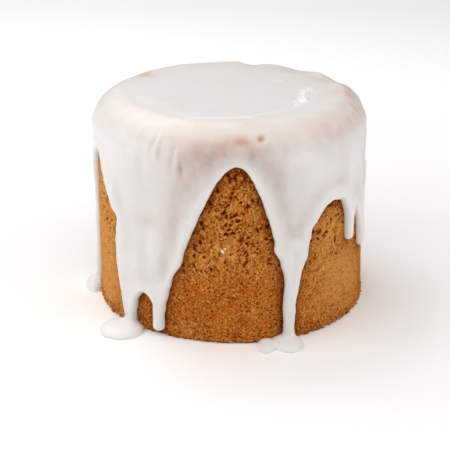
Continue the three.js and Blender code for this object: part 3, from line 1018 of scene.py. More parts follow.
def crumb_group():
    """Node group: mottled baked crumb, with painted glints on the crumbs and painted shade in the pores
    and sunken crumb. Gives a colour and a fine height from its crumb colours.
    """
    group = bpy.data.node_groups.get("Baked crumb")
    if group:
        return group
    group = bpy.data.node_groups.new("Baked crumb", "ShaderNodeTree")
    for name in ("Crust", "Pale", "Golden", "Burnt", "Dark"):
        group.interface.new_socket(name, in_out="INPUT", socket_type="NodeSocketColor")
    for name in ("Scale", "Paleness", "Raised", "Hollow"):
        group.interface.new_socket(name, in_out="INPUT", socket_type="NodeSocketFloat")
    group.interface.new_socket("Colour", in_out="OUTPUT", socket_type="NodeSocketColor")
    group.interface.new_socket("Height", in_out="OUTPUT", socket_type="NodeSocketFloat")
    given = group.nodes.new("NodeGroupInput")
    result = group.nodes.new("NodeGroupOutput")
    where = group.nodes.new("ShaderNodeTexCoord")
    fine = texture(group, "ShaderNodeTexNoise", Detail=2.0, Roughness=0.6)
    blotch = texture(group, "ShaderNodeTexNoise", Scale=330.0, Detail=2.0, Roughness=0.6)
    broad = texture(group, "ShaderNodeTexNoise", Scale=60.0, Detail=2.0, Roughness=0.5)
    specks = shader_node(group, "ShaderNodeTexVoronoi", Scale=620.0)
    glints = shader_node(group, "ShaderNodeTexVoronoi", Scale=680.0)
    warp = texture(group, "ShaderNodeTexNoise", Scale=1100.0, Detail=1.0)
    bent = shader_node(group, "ShaderNodeVectorMath", operation="MULTIPLY_ADD")
    bent.inputs[1].default_value = (SPECK_BEND, SPECK_BEND, SPECK_BEND)
    group.links.new(warp.outputs["Color"], bent.inputs[0])
    group.links.new(where.outputs["Object"], bent.inputs[2])
    for cells in (specks, glints):
        group.links.new(bent.outputs[0], cells.inputs["Vector"])
    group.links.new(given.outputs["Scale"], fine.inputs["Scale"])
    grain = added(group, spread(group, fine.outputs[0], 0.3, 0.7, -1.5, 1.5),
                  spread(group, blotch.outputs[0], 0.3, 0.7, -0.3, 0.3))
    grain = added(group, grain, spread(group, given.outputs["Raised"], -1.5, 1.5, -0.7, 0.7))
    # Painted light: paleness is partly less browned crust and partly light painted on the sides facing the
    # lamps.
    baked = colour_mix(group, given.outputs["Paleness"], given.outputs["Crust"], given.outputs["Pale"])
    browned = spread(group, given.outputs["Paleness"], 0.2, 0.75, 1.0, 0.2)
    broad_tone = multiplied(group, spread(group, broad.outputs[0], 0.35, 0.65), browned)
    crust = colour_mix(group, broad_tone, baked, BROWN_TONE, "MULTIPLY")
    raised = colour_mix(group, spread(group, grain, 0.35, 1.2), crust, given.outputs["Golden"])
    # Painted shade: sunken grain and small specks are darkened as if in shade, the specks standing for
    # tiny shaded pores.
    deep = multiplied(group, spread(group, grain, -0.2, -1.3, 0.0, 0.8), browned)
    sunken = colour_mix(group, deep, raised, given.outputs["Burnt"])
    # Painted highlight: golden glints on the crumb edges, partly the colour of golden crumbs.
    bright = multiplied(group, spread(group, glints.outputs["Distance"], 0.2, 0.4, 1.0, 0.0),
                        spread(group, glints.outputs["Color"], 0.55, 0.65, 0.0, 0.6))
    glinting = colour_mix(group, bright, sunken, given.outputs["Golden"])
    dots = multiplied(group, spread(group, specks.outputs["Distance"], 0.22, 0.36, 1.0, 0.0),
                      spread(group, specks.outputs["Color"], 0.55, 0.65, 0.0, 0.8))
    dotted = colour_mix(group, multiplied(group, dots, browned), glinting, given.outputs["Burnt"])
    holes = multiplied(group, spread(group, specks.outputs["Distance"], 0.24, 0.36, 1.0, 0.0),
                       spread(group, specks.outputs["Color"], 0.58, 0.63, 0.0, 1.0))
    dotted = colour_mix(group, multiplied(group, holes, browned), dotted, given.outputs["Dark"])
    sunk = given.outputs["Hollow"]
    # Painted shade: the pits and crags are darkened by their depth.
    reddened = colour_mix(group, spread(group, sunk, 0.0, 0.5), dotted, given.outputs["Burnt"])
    hollow = colour_mix(group, spread(group, sunk, 0.35, 0.9), reddened, given.outputs["Dark"])
    group.links.new(hollow, result.inputs["Colour"])
    height = added(group, grain, spread(group, dots, 0.0, 1.0, 0.0, -1.2))
    group.links.new(added(group, height, bright), result.inputs["Height"])
    return group


def new_material(name):
    """A material with a Principled BSDF, its node tree and that node."""
    material = bpy.data.materials.new(name)
    material.use_nodes = True
    tree = material.node_tree
    return material, tree, tree.nodes["Principled BSDF"]


def point_value(tree, name):
    """The number that a mesh stores for each point."""
    return shader_node(tree, "ShaderNodeAttribute", attribute_name=name).outputs["Fac"]


def crumb_material(name, settings, scale, stored):
    """Browned sponge: dark pores, partly painted shade, golden crumbs with painted glints, and a dark band
    beside the icing, partly damp and partly painted shade.
    """
    material, tree, surface = new_material(name)
    crumb = shader_node(tree, "ShaderNodeGroup", node_tree=crumb_group())
    crumb.inputs["Crust"].default_value = settings.crust_colour
    crumb.inputs["Pale"].default_value = settings.pale_lit_colour
    crumb.inputs["Golden"].default_value = settings.crumb_colour
    crumb.inputs["Burnt"].default_value = settings.burnt_shade_colour
    crumb.inputs["Dark"].default_value = settings.pore_shade_colour
    crumb.inputs["Scale"].default_value = scale
    colour = crumb.outputs["Colour"]
    if stored:
        tree.links.new(point_value(tree, "raised"), crumb.inputs["Raised"])
        tree.links.new(point_value(tree, "pore"), crumb.inputs["Hollow"])
        tree.links.new(point_value(tree, "pale"), crumb.inputs["Paleness"])
        # Painted shade: the band beside the icing and the line at the foot darken the crumb colour.
        colour = colour_mix(tree, point_value(tree, "damp"), colour, DAMP_SHADE, "MULTIPLY")
    else:
        crumb.inputs["Raised"].default_value = LOOSE_RAISED
    tree.links.new(colour, surface.inputs["Base Color"])
    add_bump(tree, surface, crumb.outputs["Height"], 0.8, 0.0005)
    surface.inputs["Roughness"].default_value = 0.82
    surface.inputs["Specular IOR Level"].default_value = 0.06
    return material


def icing_material(settings):
    """Satin sugar icing, warm where it is thin, grey-brown on the side partly as glassy icing and partly
    as painted shade, whiter where it stands thick partly as painted light, and matt where it has dried.
    """
    material, tree, surface = new_material("Icing")
    cloud = texture(tree, "ShaderNodeTexNoise", Scale=120.0, Detail=4.0, Roughness=0.65)
    grain = texture(tree, "ShaderNodeTexNoise", Scale=900.0, Detail=3.0, Roughness=0.6)
    cloudy = spread(tree, cloud.outputs[0], 0.3, 0.7, 0.75, 1.25)
    seen = shader_node(tree, "ShaderNodeMath", operation="MULTIPLY", use_clamp=True)
    tree.links.new(point_value(tree, "thin"), seen.inputs[0])
    tree.links.new(cloudy, seen.inputs[1])
    seen = seen.outputs[0]
    cream = colour_mix(tree, spread(tree, seen, 0.0, 0.3), settings.icing_colour, settings.cream_colour)
    tanned = colour_mix(tree, spread(tree, seen, 0.3, 1.0), cream, settings.thin_colour)
    glassy_and_shade = colour_mix(tree, seen, settings.icing_colour, settings.glassy_shade_colour)
    colour = colour_mix(tree, point_value(tree, "hanging"), tanned, glassy_and_shade)
    # Painted light: thick icing and the pools are whitened beyond the icing's own colour.
    colour = colour_mix(tree, point_value(tree, "thick"), colour, settings.thick_lit_colour)
    tree.links.new(colour, surface.inputs["Base Color"])
    satin = spread(tree, cloud.outputs[0], 0.3, 0.7, 0.34, 0.46)
    rough = added(tree, satin, spread(tree, point_value(tree, "dry"), 0.0, 1.0, 0.0, 0.35))
    tree.links.new(rough, surface.inputs["Roughness"])
    add_bump(tree, surface, grain.outputs[0], 0.12, 0.0002)
    surface.inputs["Subsurface Weight"].default_value = 0.4
    surface.inputs["Subsurface Radius"].default_value = (1.0, 0.8, 0.65)
    surface.inputs["Subsurface Scale"].default_value = 0.002
    surface.inputs["Coat Weight"].default_value = 0.08
    surface.inputs["Coat Roughness"].default_value = 0.25
    return material


def sugar_material(settings):
    """Dry white sugar with a fine grain."""
    material, tree, surface = new_material("Dried sugar")
    grain = texture(tree, "ShaderNodeTexNoise", Scale=1600.0, Detail=2.0)
    white = colour_mix(tree, spread(tree, grain.outputs[0], 0.35, 0.7), (0.96, 0.945, 0.93, 1.0),
                       settings.icing_colour)
    tree.links.new(white, surface.inputs["Base Color"])
    add_bump(tree, surface, grain.outputs[0], 0.3, 0.0002)
    surface.inputs["Roughness"].default_value = 0.55
    return material


def bare_share(form, turn, run):
    """How far a place on the side is free of icing, from 0 to 1."""
    return np.clip(BARE_AT_EDGE - form.uneven_edge(turn, run) / BARE_FADE, 0.0, 1.0)


def sponge_relief(form, settings, u, v):
    """Height of the crust in millimetres over the unrolled side, and the shares that colour it."""
    turn = u / form.base_radius
    step_u = u[1, 0] - u[0, 0]
    step_v = v[0, 1] - v[0, 0]
    bare = bare_share(form, turn, v)
    upper = rising(v, COARSE_START, COARSE_LENGTH)
    foot = np.clip(1.0 - v / FOOT_CRUMBLE, 0.0, 1.0)
    bent_u = u + GRAIN_BEND * form.pattern("bend across", u, v)
    bent_v = v + GRAIN_BEND * form.pattern("bend up", u, v)
    grain = 0.5 * form.pattern("crumb", bent_u, bent_v)
    grain = grain + 0.55 * form.pattern("fine crumb", bent_u, bent_v)
    grain = np.tanh(GRAIN_SHARPNESS * grain)
    lumps = form.pattern("lumps", u, v) + 0.6 * form.pattern("small lumps", u, v)
    crumb = settings.crumb_height / MM
    relief = 0.6 * crumb * grain * (0.75 + 0.6 * upper + 1.3 * foot)
    relief = relief + LUMP_HEIGHT * lumps * (0.5 + 0.7 * upper)
    pits = np.zeros_like(u)
    rng = np.random.default_rng(21)
    most = settings.pore_radius / MM
    spots = int(form.girth * PORE_TOP * PORE_COUNT)
    spot_u = rng.uniform(0.0, form.girth, spots)
    spot_v = rng.uniform(PORE_LOW, PORE_TOP, spots)
    clump = form.pattern("pore clumps", spot_u, spot_v)
    high = rising(spot_v, COARSE_START, COARSE_LENGTH)
    clump = form.with_patches(clump, spot_u / form.base_radius, spot_v, PORE_PLACES)
    keep = rng.uniform(0.0, 1.0, spots) < 0.3 + 0.2 * high + 0.5 * clump
    size = most * (PORE_LEAST + PORE_SPREAD * rng.uniform(0.0, 1.0, spots) ** 4.0 * (0.3 + 0.7 * high))
    slant = rng.normal(0.5, 0.6, spots)
    long = rng.uniform(1.0, 1.9, spots)
    columns, rows = u.shape
    reach = int(math.ceil(most * 2.0 / min(step_u, step_v)))
    around = np.arange(-reach, reach + 1)
    rough = 1.0 + 0.8 * form.pattern("pore edges", u, v)
    for n in np.flatnonzero(keep):
        i = int(round(spot_u[n] / step_u))
        j = int(round((spot_v[n] - v[0, 0]) / step_v))
        near_j = around + j
        near_j = near_j[(near_j >= 0) & (near_j < rows)]
        near_i = around + i
        du = (near_i * step_u - spot_u[n])[:, None]
        dv = (near_j * step_v + v[0, 0] - spot_v[n])[None, :]
        along = du * math.sin(slant[n]) + dv * math.cos(slant[n])
        cross = du * math.cos(slant[n]) - dv * math.sin(slant[n])
        far = (along / (size[n] * long[n])) ** 2 + (cross / size[n]) ** 2
        window = np.ix_(near_i % columns, near_j)
        depth = size[n] * settings.pore_depth * np.clip(1.0 - far * rough[window], 0.0, 1.0)
        pits[window] = np.maximum(pits[window], depth)
    ragged = 1.0 + 0.7 * form.pattern("ragged foot", u, v)
    tucked = FOOT_TUCK * ragged * np.exp(-(v / FOOT_HEIGHT) ** 2)
    crags = 0.6 * form.pattern("crags", bent_u, bent_v)
    crags = crags + 0.5 * form.pattern("small crags", bent_u, bent_v)
    crags = rising(crags, CRAG_START, CRAG_LENGTH) * (0.3 + 0.7 * upper + 0.7 * foot)
    relief = (relief - pits - CRAG_DEPTH * crags - tucked) * bare
    # Painted shade: the crumb beside the icing edge is darkened, partly as damp soaked in and partly as
    # shade under the edge.
    damp_shade_width = DAMP_SHADE_WIDTH + DAMP_SHADE_SPREAD * form.pattern("damp edge", u, v)
    damp = np.exp(-np.maximum(0.0, -form.uneven_edge(turn, v)) / damp_shade_width)
    # Painted shadow: a dark line along the very foot stands for the shade where the sponge meets the
    # ground.
    damp = np.maximum(damp, np.clip(ragged, 0.4, 1.0) * np.exp(-(v / FOOT_HEIGHT) ** 2))
    # Painted light: paler on the sides facing the lamps, with painted shade low at the front, besides the
    # real baking tone.
    pale = 0.22 + 0.16 * form.pattern("baking", u, v) - 0.25 * np.exp(-v / FOOT_CRUMBLE)
    pale = np.clip(form.with_patches(pale, turn, v, PALE_AND_LIT_PLACES), 0.0, 1.0)
    calm = 0.75 * (1.0 - upper) * (1.0 - pale)
    return {
        "relief": relief,
        # Painted shade: this share darkens the pits and crags.
        "pore": np.clip(0.85 * pits / (0.62 * most) + 0.4 * crags, 0.0, 0.9),
        "raised": grain * (0.6 + 0.4 * upper) + 1.2 * foot - calm,
        "damp": damp * (1.0 - 0.6 * pale),
        "pale": pale,
    }


class CAKE_OT_sponge(bpy.types.Operator):
    """Builds the browned sponge with its pores and crumb"""
    bl_idname = "cake.sponge"
    bl_label = "Sponge"

    def execute(self, context):
        settings = context.scene.cake_sponge
        form = CakeForm(context.scene)
        step = settings.step / MM
        columns = int(round(form.girth / step))
        u = np.arange(columns) * form.girth / columns
        side = form.height - form.shoulder * (1.0 + form.skew)
        wall = np.arange(0.0, side, step)
        over = form.height + form.shoulder * ROUND_SHARE
        top = over + np.linspace(0.0, TOP_REACH, TOP_ROWS)
        crown = np.concatenate([np.linspace(side, over, ROUND_ROWS)[1:], top[1:]])
        grid_u, grid_v = np.meshgrid(u, wall, indexing="ij")
        crust = sponge_relief(form, settings, grid_u, grid_v)
        turn_u, run_v = np.meshgrid(u, np.concatenate([wall, crown]), indexing="ij")
        points, normals = form.place(turn_u / form.base_radius, run_v)
        points[:, :len(wall)] += normals[:, :len(wall)] * crust["relief"][..., None]
        rows = points.shape[1]
        index = np.arange(columns * rows).reshape(columns, rows)
        right = np.roll(index, -1, axis=0)
        quads = np.stack([index[:, :-1], right[:, :-1], right[:, 1:], index[:, 1:]], axis=-1)
        quads = quads.reshape(-1, 4)
        material = crumb_material("Sponge", settings, SPONGE_GRAIN, True)
        piece = mesh_object("sponge_crumb", points.reshape(-1, 3), quads, material)
        shape = bmesh.new()
        shape.from_mesh(piece.data)
        loose = [edge for edge in shape.edges if edge.is_boundary]
        bmesh.ops.holes_fill(shape, edges=loose, sides=0)
        bmesh.ops.triangulate(shape, faces=[face for face in shape.faces if len(face.verts) > 4])
        bmesh.ops.recalc_face_normals(shape, faces=shape.faces)
        shape.to_mesh(piece.data)
        shape.free()
        thin_out(piece, MOST_TRIANGLES)
        mesh = settle_modifiers(piece)
        spots = mesh_points(mesh)
        turn, run, _, _ = form.locate(spots)
        i = np.round((turn * form.base_radius % form.girth) / form.girth * columns).astype(int) % columns
        j = np.clip(np.round(run / step).astype(int), 0, len(wall) - 1)
        for name in ("pore", "raised", "damp", "pale"):
            add_value(mesh, name, crust[name][i, j])
        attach(piece, BODY)
        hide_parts("sponge")
        return {"FINISHED"}


def top_crust(form, turn, point):
    """Distance beyond the rim of the level pool, and the shares of ridge, pool, lip and dried crust."""
    angle = np.degrees(turn)
    spread_angles = np.arange(-180.0, 180.0, 2.0)
    places = np.array(POOL_RIM)
    table = np.interp(spread_angles, places[:, 0], places[:, 1], period=360.0)
    table = sum(np.roll(table, shift) for shift in range(-3, 4)) / 7.0
    u = turn * form.base_radius
    rim_line = np.zeros_like(u)
    rim = np.interp(angle, spread_angles, table, period=360.0)
    rim = rim + 0.8 * form.pattern("pool rim", u, rim_line)
    beyond = np.hypot(point[..., 0] - form.lean, point[..., 1]) - rim
    ridge = rising(angle, RIDGE_START, RIDGE_FADE_IN)
    ridge = ridge * rising(-angle, -RIDGE_END, RIDGE_FADE_OUT)
    level = soft_step(beyond / (0.4 + 5.0 * (1.0 - ridge)))
    broken = 0.65 + 0.6 * form.pattern("broken lip", u, rim_line)
    broken = broken * np.clip(angle / 25.0, 0.25, 1.0)
    lip = ridge * broken * np.exp(-((beyond + 0.4) / 0.7) ** 2)
    wiggle = 0.9 * form.pattern("crust wiggle", u, rim_line)
    across = (beyond - 1.5 - wiggle) / CRUST_WIDTH
    crust = np.exp(-((angle - CRUST_AZIMUTH) / CRUST_LENGTH) ** 4 - across ** 2)
    fan_turn = (angle - CRUST_AZIMUTH - FAN_TURN) / FAN_LENGTH
    fan = np.exp(-fan_turn ** 2 - ((beyond - FAN_PLACE) / FAN_WIDTH) ** 2)
    return beyond, ridge, level, lip, np.maximum(crust, FAN_SHARE * fan)


def icing_relief(form, point, turn, run, tilt):
    """Unevenness of the icing: flow streaks, wrinkles, the level pool on the top and its dried crust."""
    u = turn * form.base_radius
    side = np.sin(tilt) ** 2
    flat = 1.0 - side
    plan_x = point[:, 0] + TOP_PERIOD / 2.0
    plan_y = point[:, 1]
    slow = form.pattern("slow flow", u, run) + 0.7 * form.pattern("flow", u, run)
    streak = form.pattern("streaks", u, run) + 0.8 * form.pattern("fine streaks", u, run)
    dimple = form.pattern("dimples", u, run)
    relief = side * (FLOW_HEIGHT * slow + STREAK_HEIGHT * streak + DIMPLE_HEIGHT * dimple)
    ripple = top_pattern("top ripples", plan_x, plan_y)
    ripple = ripple + 0.5 * top_pattern("small top ripples", plan_x, plan_y)
    _, _, level, lip, crust = top_crust(form, turn, point)
    _, _, round_end = form.stretches(turn)
    aside = turn_from(turn, SOFT_AZIMUTH) / SOFT_WIDTH
    relief = relief - SOFT_DEPTH * np.exp(-aside ** 2 - ((run - round_end) / 8.0) ** 2)
    relief = relief + flat * RIPPLE_HEIGHT * ripple * (1.0 - 0.75 * level)
    for azimuth, height, half_width, half_length, depth in WRINKLES:
        bend = 0.6 * np.sin((run - height) / 4.0) / form.arc
        bent = turn - np.radians(bend)
        relief = relief + depth * form.patch(bent, run, azimuth, height, half_width, half_length)
    relief = relief + flat * (POOL_RISE * level + LIP_HEIGHT * lip)
    lumpy = 0.8 + 0.6 * top_pattern("crust lumps", plan_x, plan_y)
    lumpy = lumpy + 0.4 * top_pattern("crust grains", plan_x, plan_y)
    relief = relief + flat * CRUST_HEIGHT * crust * np.maximum(lumpy, 0.0)
    return form.with_patches(relief, turn, run, RIM_DIPS, -1.0)


def icing_field(form, step):
    """The icing as a field over a box of points, negative inside it."""
    low = np.array([*FIELD_LOW, -2.0 * step])
    counts = np.ceil((np.array(FIELD_HIGH) - low) / step).astype(int)
    axes = [low[k] + step * np.arange(counts[k]) for k in range(3)]
    field = np.full(counts, FIELD_FAR, dtype=np.float32)
    x, y, z = np.meshgrid(*axes, indexing="ij", sparse=True)
    radius = np.hypot(x - form.lean * z / form.height, y)
    band = (radius > form.base_radius - BAND_IN) | (z > form.height - form.shoulder * BAND_TOP)
    band = band & (radius < form.base_radius + BAND_OUT)
    near = np.argwhere(band & (z < FIELD_HIGH[2]))
    point = low + step * near
    turn, run, lift, tilt = form.locate(point)
    kept = (lift > -form.embed - 2.5 * step) & (lift < BAND_LIFT)
    near, point, turn, run, lift, tilt = (part[kept] for part in (near, point, turn, run, lift, tilt))
    edge = form.uneven_edge(turn, run) - EDGE_INSET
    thick = form.film(turn, run, tilt) + icing_relief(form, point, turn, run, tilt)
    thick = np.maximum(thick + form.edge_film(turn, run, edge), LEAST_FILM)
    rounding = form.rounding * (1.0 + FULL_ROUNDING * rising(thick, FULL_START, FULL_LENGTH))
    rounding = rounding + DROP_ROUNDING * form.drops(turn, run)
    inward = np.maximum(rounding - edge, 0.0) / rounding
    upright = np.maximum(lift, 0.0) / thick
    rounded = ((inward ** EDGE_POWER + upright ** EDGE_POWER) ** (1.0 / EDGE_POWER) - 1.0) * thick
    sheet = np.where(edge > rounding, lift - thick, rounded)
    pool = np.full(len(near), FIELD_FAR)
    low_down = np.flatnonzero(point[:, 2] < POOL_LIMIT)
    pool[low_down] = pool_field(point[low_down])
    share = np.clip(0.5 + 0.5 * (pool - sheet) / POOL_BLEND, 0.0, 1.0)
    body = pool * (1.0 - share) + sheet * share - POOL_BLEND * share * (1.0 - share)
    body = np.where(point[:, 2] < JOIN_LIMIT, body, sheet)
    body = np.maximum(body, -lift - form.embed)
    body = np.maximum(body, -point[:, 2])
    field[tuple(near.T)] = body
    outside = (z < POOL_LIMIT) & (radius > form.base_radius + POOL_START)
    ground = np.argwhere(np.broadcast_to(outside, counts))
    spot = low + step * ground
    far_pool = np.maximum(pool_field(spot), -spot[:, 2])
    here = tuple(ground.T)
    field[here] = np.minimum(field[here], far_pool)
    return field, low


def pool_field(point):
    """The pools on the ground as a field, negative inside them."""
    field = np.full(len(point), FIELD_FAR)
    for azimuth, distance, along, out, height, turn in POOLS:
        angle = math.radians(azimuth)
        dx = point[:, 0] - distance * math.sin(angle)
        dy = point[:, 1] + distance * math.cos(angle)
        twist = angle + math.radians(turn)
        a = (dx * math.cos(twist) + dy * math.sin(twist)) / along
        b = (dy * math.cos(twist) - dx * math.sin(twist)) / out
        spread_out = np.hypot(a, b)
        dome = (spread_out ** POOL_POWER + np.clip(point[:, 2] / height, 0.0, None) ** 2) ** POOL_EVENING
        field = np.minimum(field, (dome - 1.0) * height)
    return field


def icing_shares(form, spots):
    """The shares that colour the icing at points: how thin, dry, thick and glassy it is, with painted
    shade on the side and the upper rounded edge, and painted light where it stands thick.
    """
    turn, run, lift, tilt = form.locate(spots)
    thick = form.film(turn, run, tilt) + 0.25 * icing_relief(form, spots, turn, run, tilt)
    edge = form.uneven_edge(turn, run)
    thick = thick + form.edge_film(turn, run, edge)
    beyond, ridge, _, _, crust = top_crust(form, turn, spots)
    u = turn * form.base_radius
    blotch = form.pattern("blotches", u, run)
    blotch = blotch + 0.45 * form.pattern("small blotches", u, run)
    blotched = 1.0 + 0.6 * blotch
    outside = soft_step(-(beyond + 1.0) / (5.0 - 3.5 * ridge))
    # Painted shade: the upper rounded edge is tinted by its tilt, partly as thin icing over the crust.
    upper = np.exp(-((np.degrees(tilt) - SHOULDER_SHADE_TILT) / SHOULDER_SHADE_WIDTH) ** 2)
    shoulder_tint_and_shade = outside * blotched * (0.65 * upper - 0.25 * np.sin(2.0 * tilt) ** 2)
    thin = np.clip((CLEAR_DEPTH - thick + shoulder_tint_and_shade) / CLEAR_LENGTH, LEAST_THIN, 1.0)
    for azimuth, height, half_width, half_length, share in STAINS:
        stain = share * form.patch(turn, run, azimuth, height, half_width, half_length)
        thin = thin + stain * blotched
    clouded = top_pattern("clouds", spots[:, 0], spots[:, 1])
    thin = thin + CLOUD_SHARE * np.cos(tilt) ** 2 * np.maximum(clouded, 0.0)
    dry = np.where(spots[:, 2] > form.height, crust, 0.0)
    # Painted shade: the icing on the side takes a grey-brown colour, partly as glassy thin icing.
    hanging = np.clip((GLASSY_SHADE_START - run) / GLASSY_SHADE_LENGTH, 0.0, GLASSY_SHADE_MOST)
    return {
        "thin": np.clip(thin, LEAST_THIN, 1.0),
        "dry": dry,
        # Painted light: whiter where the icing stands thick off the sponge, as on the pools.
        "thick": np.maximum(rising(lift, WHITE_DEPTH, WHITE_LENGTH), dry),
        "hanging": hanging * (1.0 - WARM_SHARE * form.patch(turn, run, *WARM_PLACE)),
    }


class CAKE_OT_icing(bpy.types.Operator):
    """Builds the poured icing with its drips, fingers and pools"""
    bl_idname = "cake.icing"
    bl_label = "Icing"

    def execute(self, context):
        settings = context.scene.cake_icing
        form = CakeForm(context.scene)
        step = settings.step / MM
        field, low = icing_field(form, step)
        points, faces = field_skin(field, low, step)
        piece = mesh_object("icing_pour", points, faces, icing_material(settings))
        smooth = piece.modifiers.new("Soften", "SMOOTH")
        smooth.factor = 0.5
        smooth.iterations = 4
        thin_out(piece, MOST_TRIANGLES)
        mesh = settle_modifiers(piece)
        for name, values in icing_shares(form, mesh_points(mesh)).items():
            add_value(mesh, name, values)
        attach(piece, BODY)
        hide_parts("icing")
        return {"FINISHED"}


def scattered_grains(centres, sizes, seed):
    """Points and faces of many small rough grains."""
    ball = bmesh.new()
    bmesh.ops.create_icosphere(ball, subdivisions=1, radius=1.0)
    ball.verts.ensure_lookup_table()
    shape = np.array([vert.co[:] for vert in ball.verts])
    faces = np.array([[vert.index for vert in face.verts] for face in ball.faces])
    ball.free()
    rng = np.random.default_rng(seed)
    points = []
    turned = []
    for number, (centre, size) in enumerate(zip(centres, sizes)):
        rough = shape * rng.uniform(0.72, 1.22, (len(shape), 1))
        rough = rough * rng.uniform(0.65, 1.2, 3)
        frame_axes, _ = np.linalg.qr(rng.normal(size=(3, 3)))
        frame_axes = frame_axes * np.sign(np.linalg.det(frame_axes))
        points.append(centre + size * rough @ frame_axes.T)
        turned.append(faces + number * len(shape))
    return np.concatenate(points), np.concatenate(turned)


class CAKE_OT_crumbs(bpy.types.Operator):
    """Scatters the loose crumbs along the foot of the sponge"""
    bl_idname = "cake.crumbs"
    bl_label = "Crumbs"

    def execute(self, context):
        settings = context.scene.cake_sponge
        form = CakeForm(context.scene)
        rng = np.random.default_rng(61)
        turn = rng.uniform(-math.pi, math.pi, LOOSE_CRUMBS)
        free = form.edge_distance(turn, np.full(LOOSE_CRUMBS, CRUMB_LINE)) < -CRUMB_CLEAR
        turn = turn[free]
        count = len(turn)
        sizes = CRUMB_LEAST + CRUMB_SPREAD * rng.uniform(0.0, 1.0, count) ** 2.5
        out = np.abs(rng.normal(0.0, 0.45, count)) - 0.25
        on_ground = rng.uniform(0.0, 1.0, count) < GROUND_SHARE
        lifted = np.where(on_ground, 0.0, rng.uniform(CRUMB_LOW, CRUMB_TOP, count))
        z = sizes * 0.8 + lifted
        out = np.where(lifted > 0.0, np.minimum(out, 0.1), out - 0.6)
        radius = form.wall_radius(turn, z) + out
        centres = np.stack([radius * np.sin(turn), -radius * np.cos(turn), z], axis=1)
        points, faces = scattered_grains(centres, sizes, 62)
        points[:, 2] = np.maximum(points[:, 2], 0.0)
        material = crumb_material("Loose crumb", settings, CRUMB_GRAIN, False)
        piece = mesh_object("loose_crumbs", points, faces, material, smooth=False)
        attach(piece, BODY)
        return {"FINISHED"}


def on_icing(icing, place, size):
    """Middle of a grain of some size that lies on the icing at a place in plan, a little sunk in."""
    above = Vector((place[0], place[1], 2.0 * FIELD_HIGH[2])) * MM
    hit, spot, _, _ = icing.ray_cast(above, (0.0, 0.0, -1.0))
    if not hit:
        raise RuntimeError("The sugar found no icing below it")
    return place[0], place[1], spot.z / MM - GRAIN_SINK * size


class CAKE_OT_sugar(bpy.types.Operator):
    """Lays the dried sugar crust on the top and the flecks of icing on the sponge"""
    bl_idname = "cake.sugar"
    bl_label = "Sugar Crust"

    def execute(self, context):
        form = CakeForm(context.scene)
        icing = bpy.data.objects["icing_pour"]
        rng = np.random.default_rng(71)
        half = SUGAR_GRAINS // 2
        on_crust = rng.normal(CRUST_AZIMUTH, SUGAR_SPREAD, half)
        azimuth = np.concatenate([on_crust, rng.uniform(*SUGAR_STRETCH, half)])
        turn = np.radians(azimuth)
        heavy = np.exp(-((azimuth - CRUST_AZIMUTH) / SUGAR_HEAVY) ** 2)
        away = rng.normal(0.3, 0.25 + 1.1 * heavy)
        sizes = (SUGAR_SIZE + SUGAR_SIZE * heavy) * rng.uniform(0.6, 1.2, SUGAR_GRAINS)
        centres = []
        ring = np.linspace(*RIM_SEARCH)
        for angle, offset, size in zip(turn, away, sizes):
            way = np.stack([ring * math.sin(angle), -ring * math.cos(angle), np.zeros_like(ring)], axis=1)
            beyond = top_crust(form, np.full_like(ring, angle), way)[0]
            place = way[int(np.argmin(np.abs(beyond)))] * (1.0 + offset / RIM_MIDDLE)
            centres.append(on_icing(icing, place, size))
        for angle, height, size in FLECKS:
            point, _ = form.place(np.radians(angle), np.array(height))
            centres.append(tuple(point))
            sizes = np.append(sizes, size)
        for start, end, number, size in TOP_MARKS:
            for place in np.linspace(start, end, number):
                centres.append(on_icing(icing, place, size))
                sizes = np.append(sizes, size)
        points, faces = scattered_grains(np.array(centres), sizes, 72)
        piece = mesh_object("sugar_crust", points, faces, sugar_material(context.scene.cake_icing))
        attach(piece, BODY)
        return {"FINISHED"}


def direction(azimuth, elevation):
    """Direction from the cake at an azimuth from the front and an elevation, in degrees."""
    turn, rise = math.radians(azimuth), math.radians(elevation)
    return Vector((math.sin(turn) * math.cos(rise), -math.cos(turn) * math.cos(rise), math.sin(rise)))


def soft_light(name, azimuth, elevation, distance, size, power, colour):
    """A square soft light that faces the cake."""
    way = direction(azimuth, elevation)
    data = bpy.data.lights.new(name, "AREA")
    data.shape = "SQUARE"
    data.size = size
    data.energy = power
    data.color = colour
    light = bpy.data.objects.new(name, data)
    light.location = way * distance + Vector(LIGHT_AIM)
    light.rotation_euler = way.to_track_quat("Z", "Y").to_euler()
    bpy.context.scene.collection.objects.link(light)


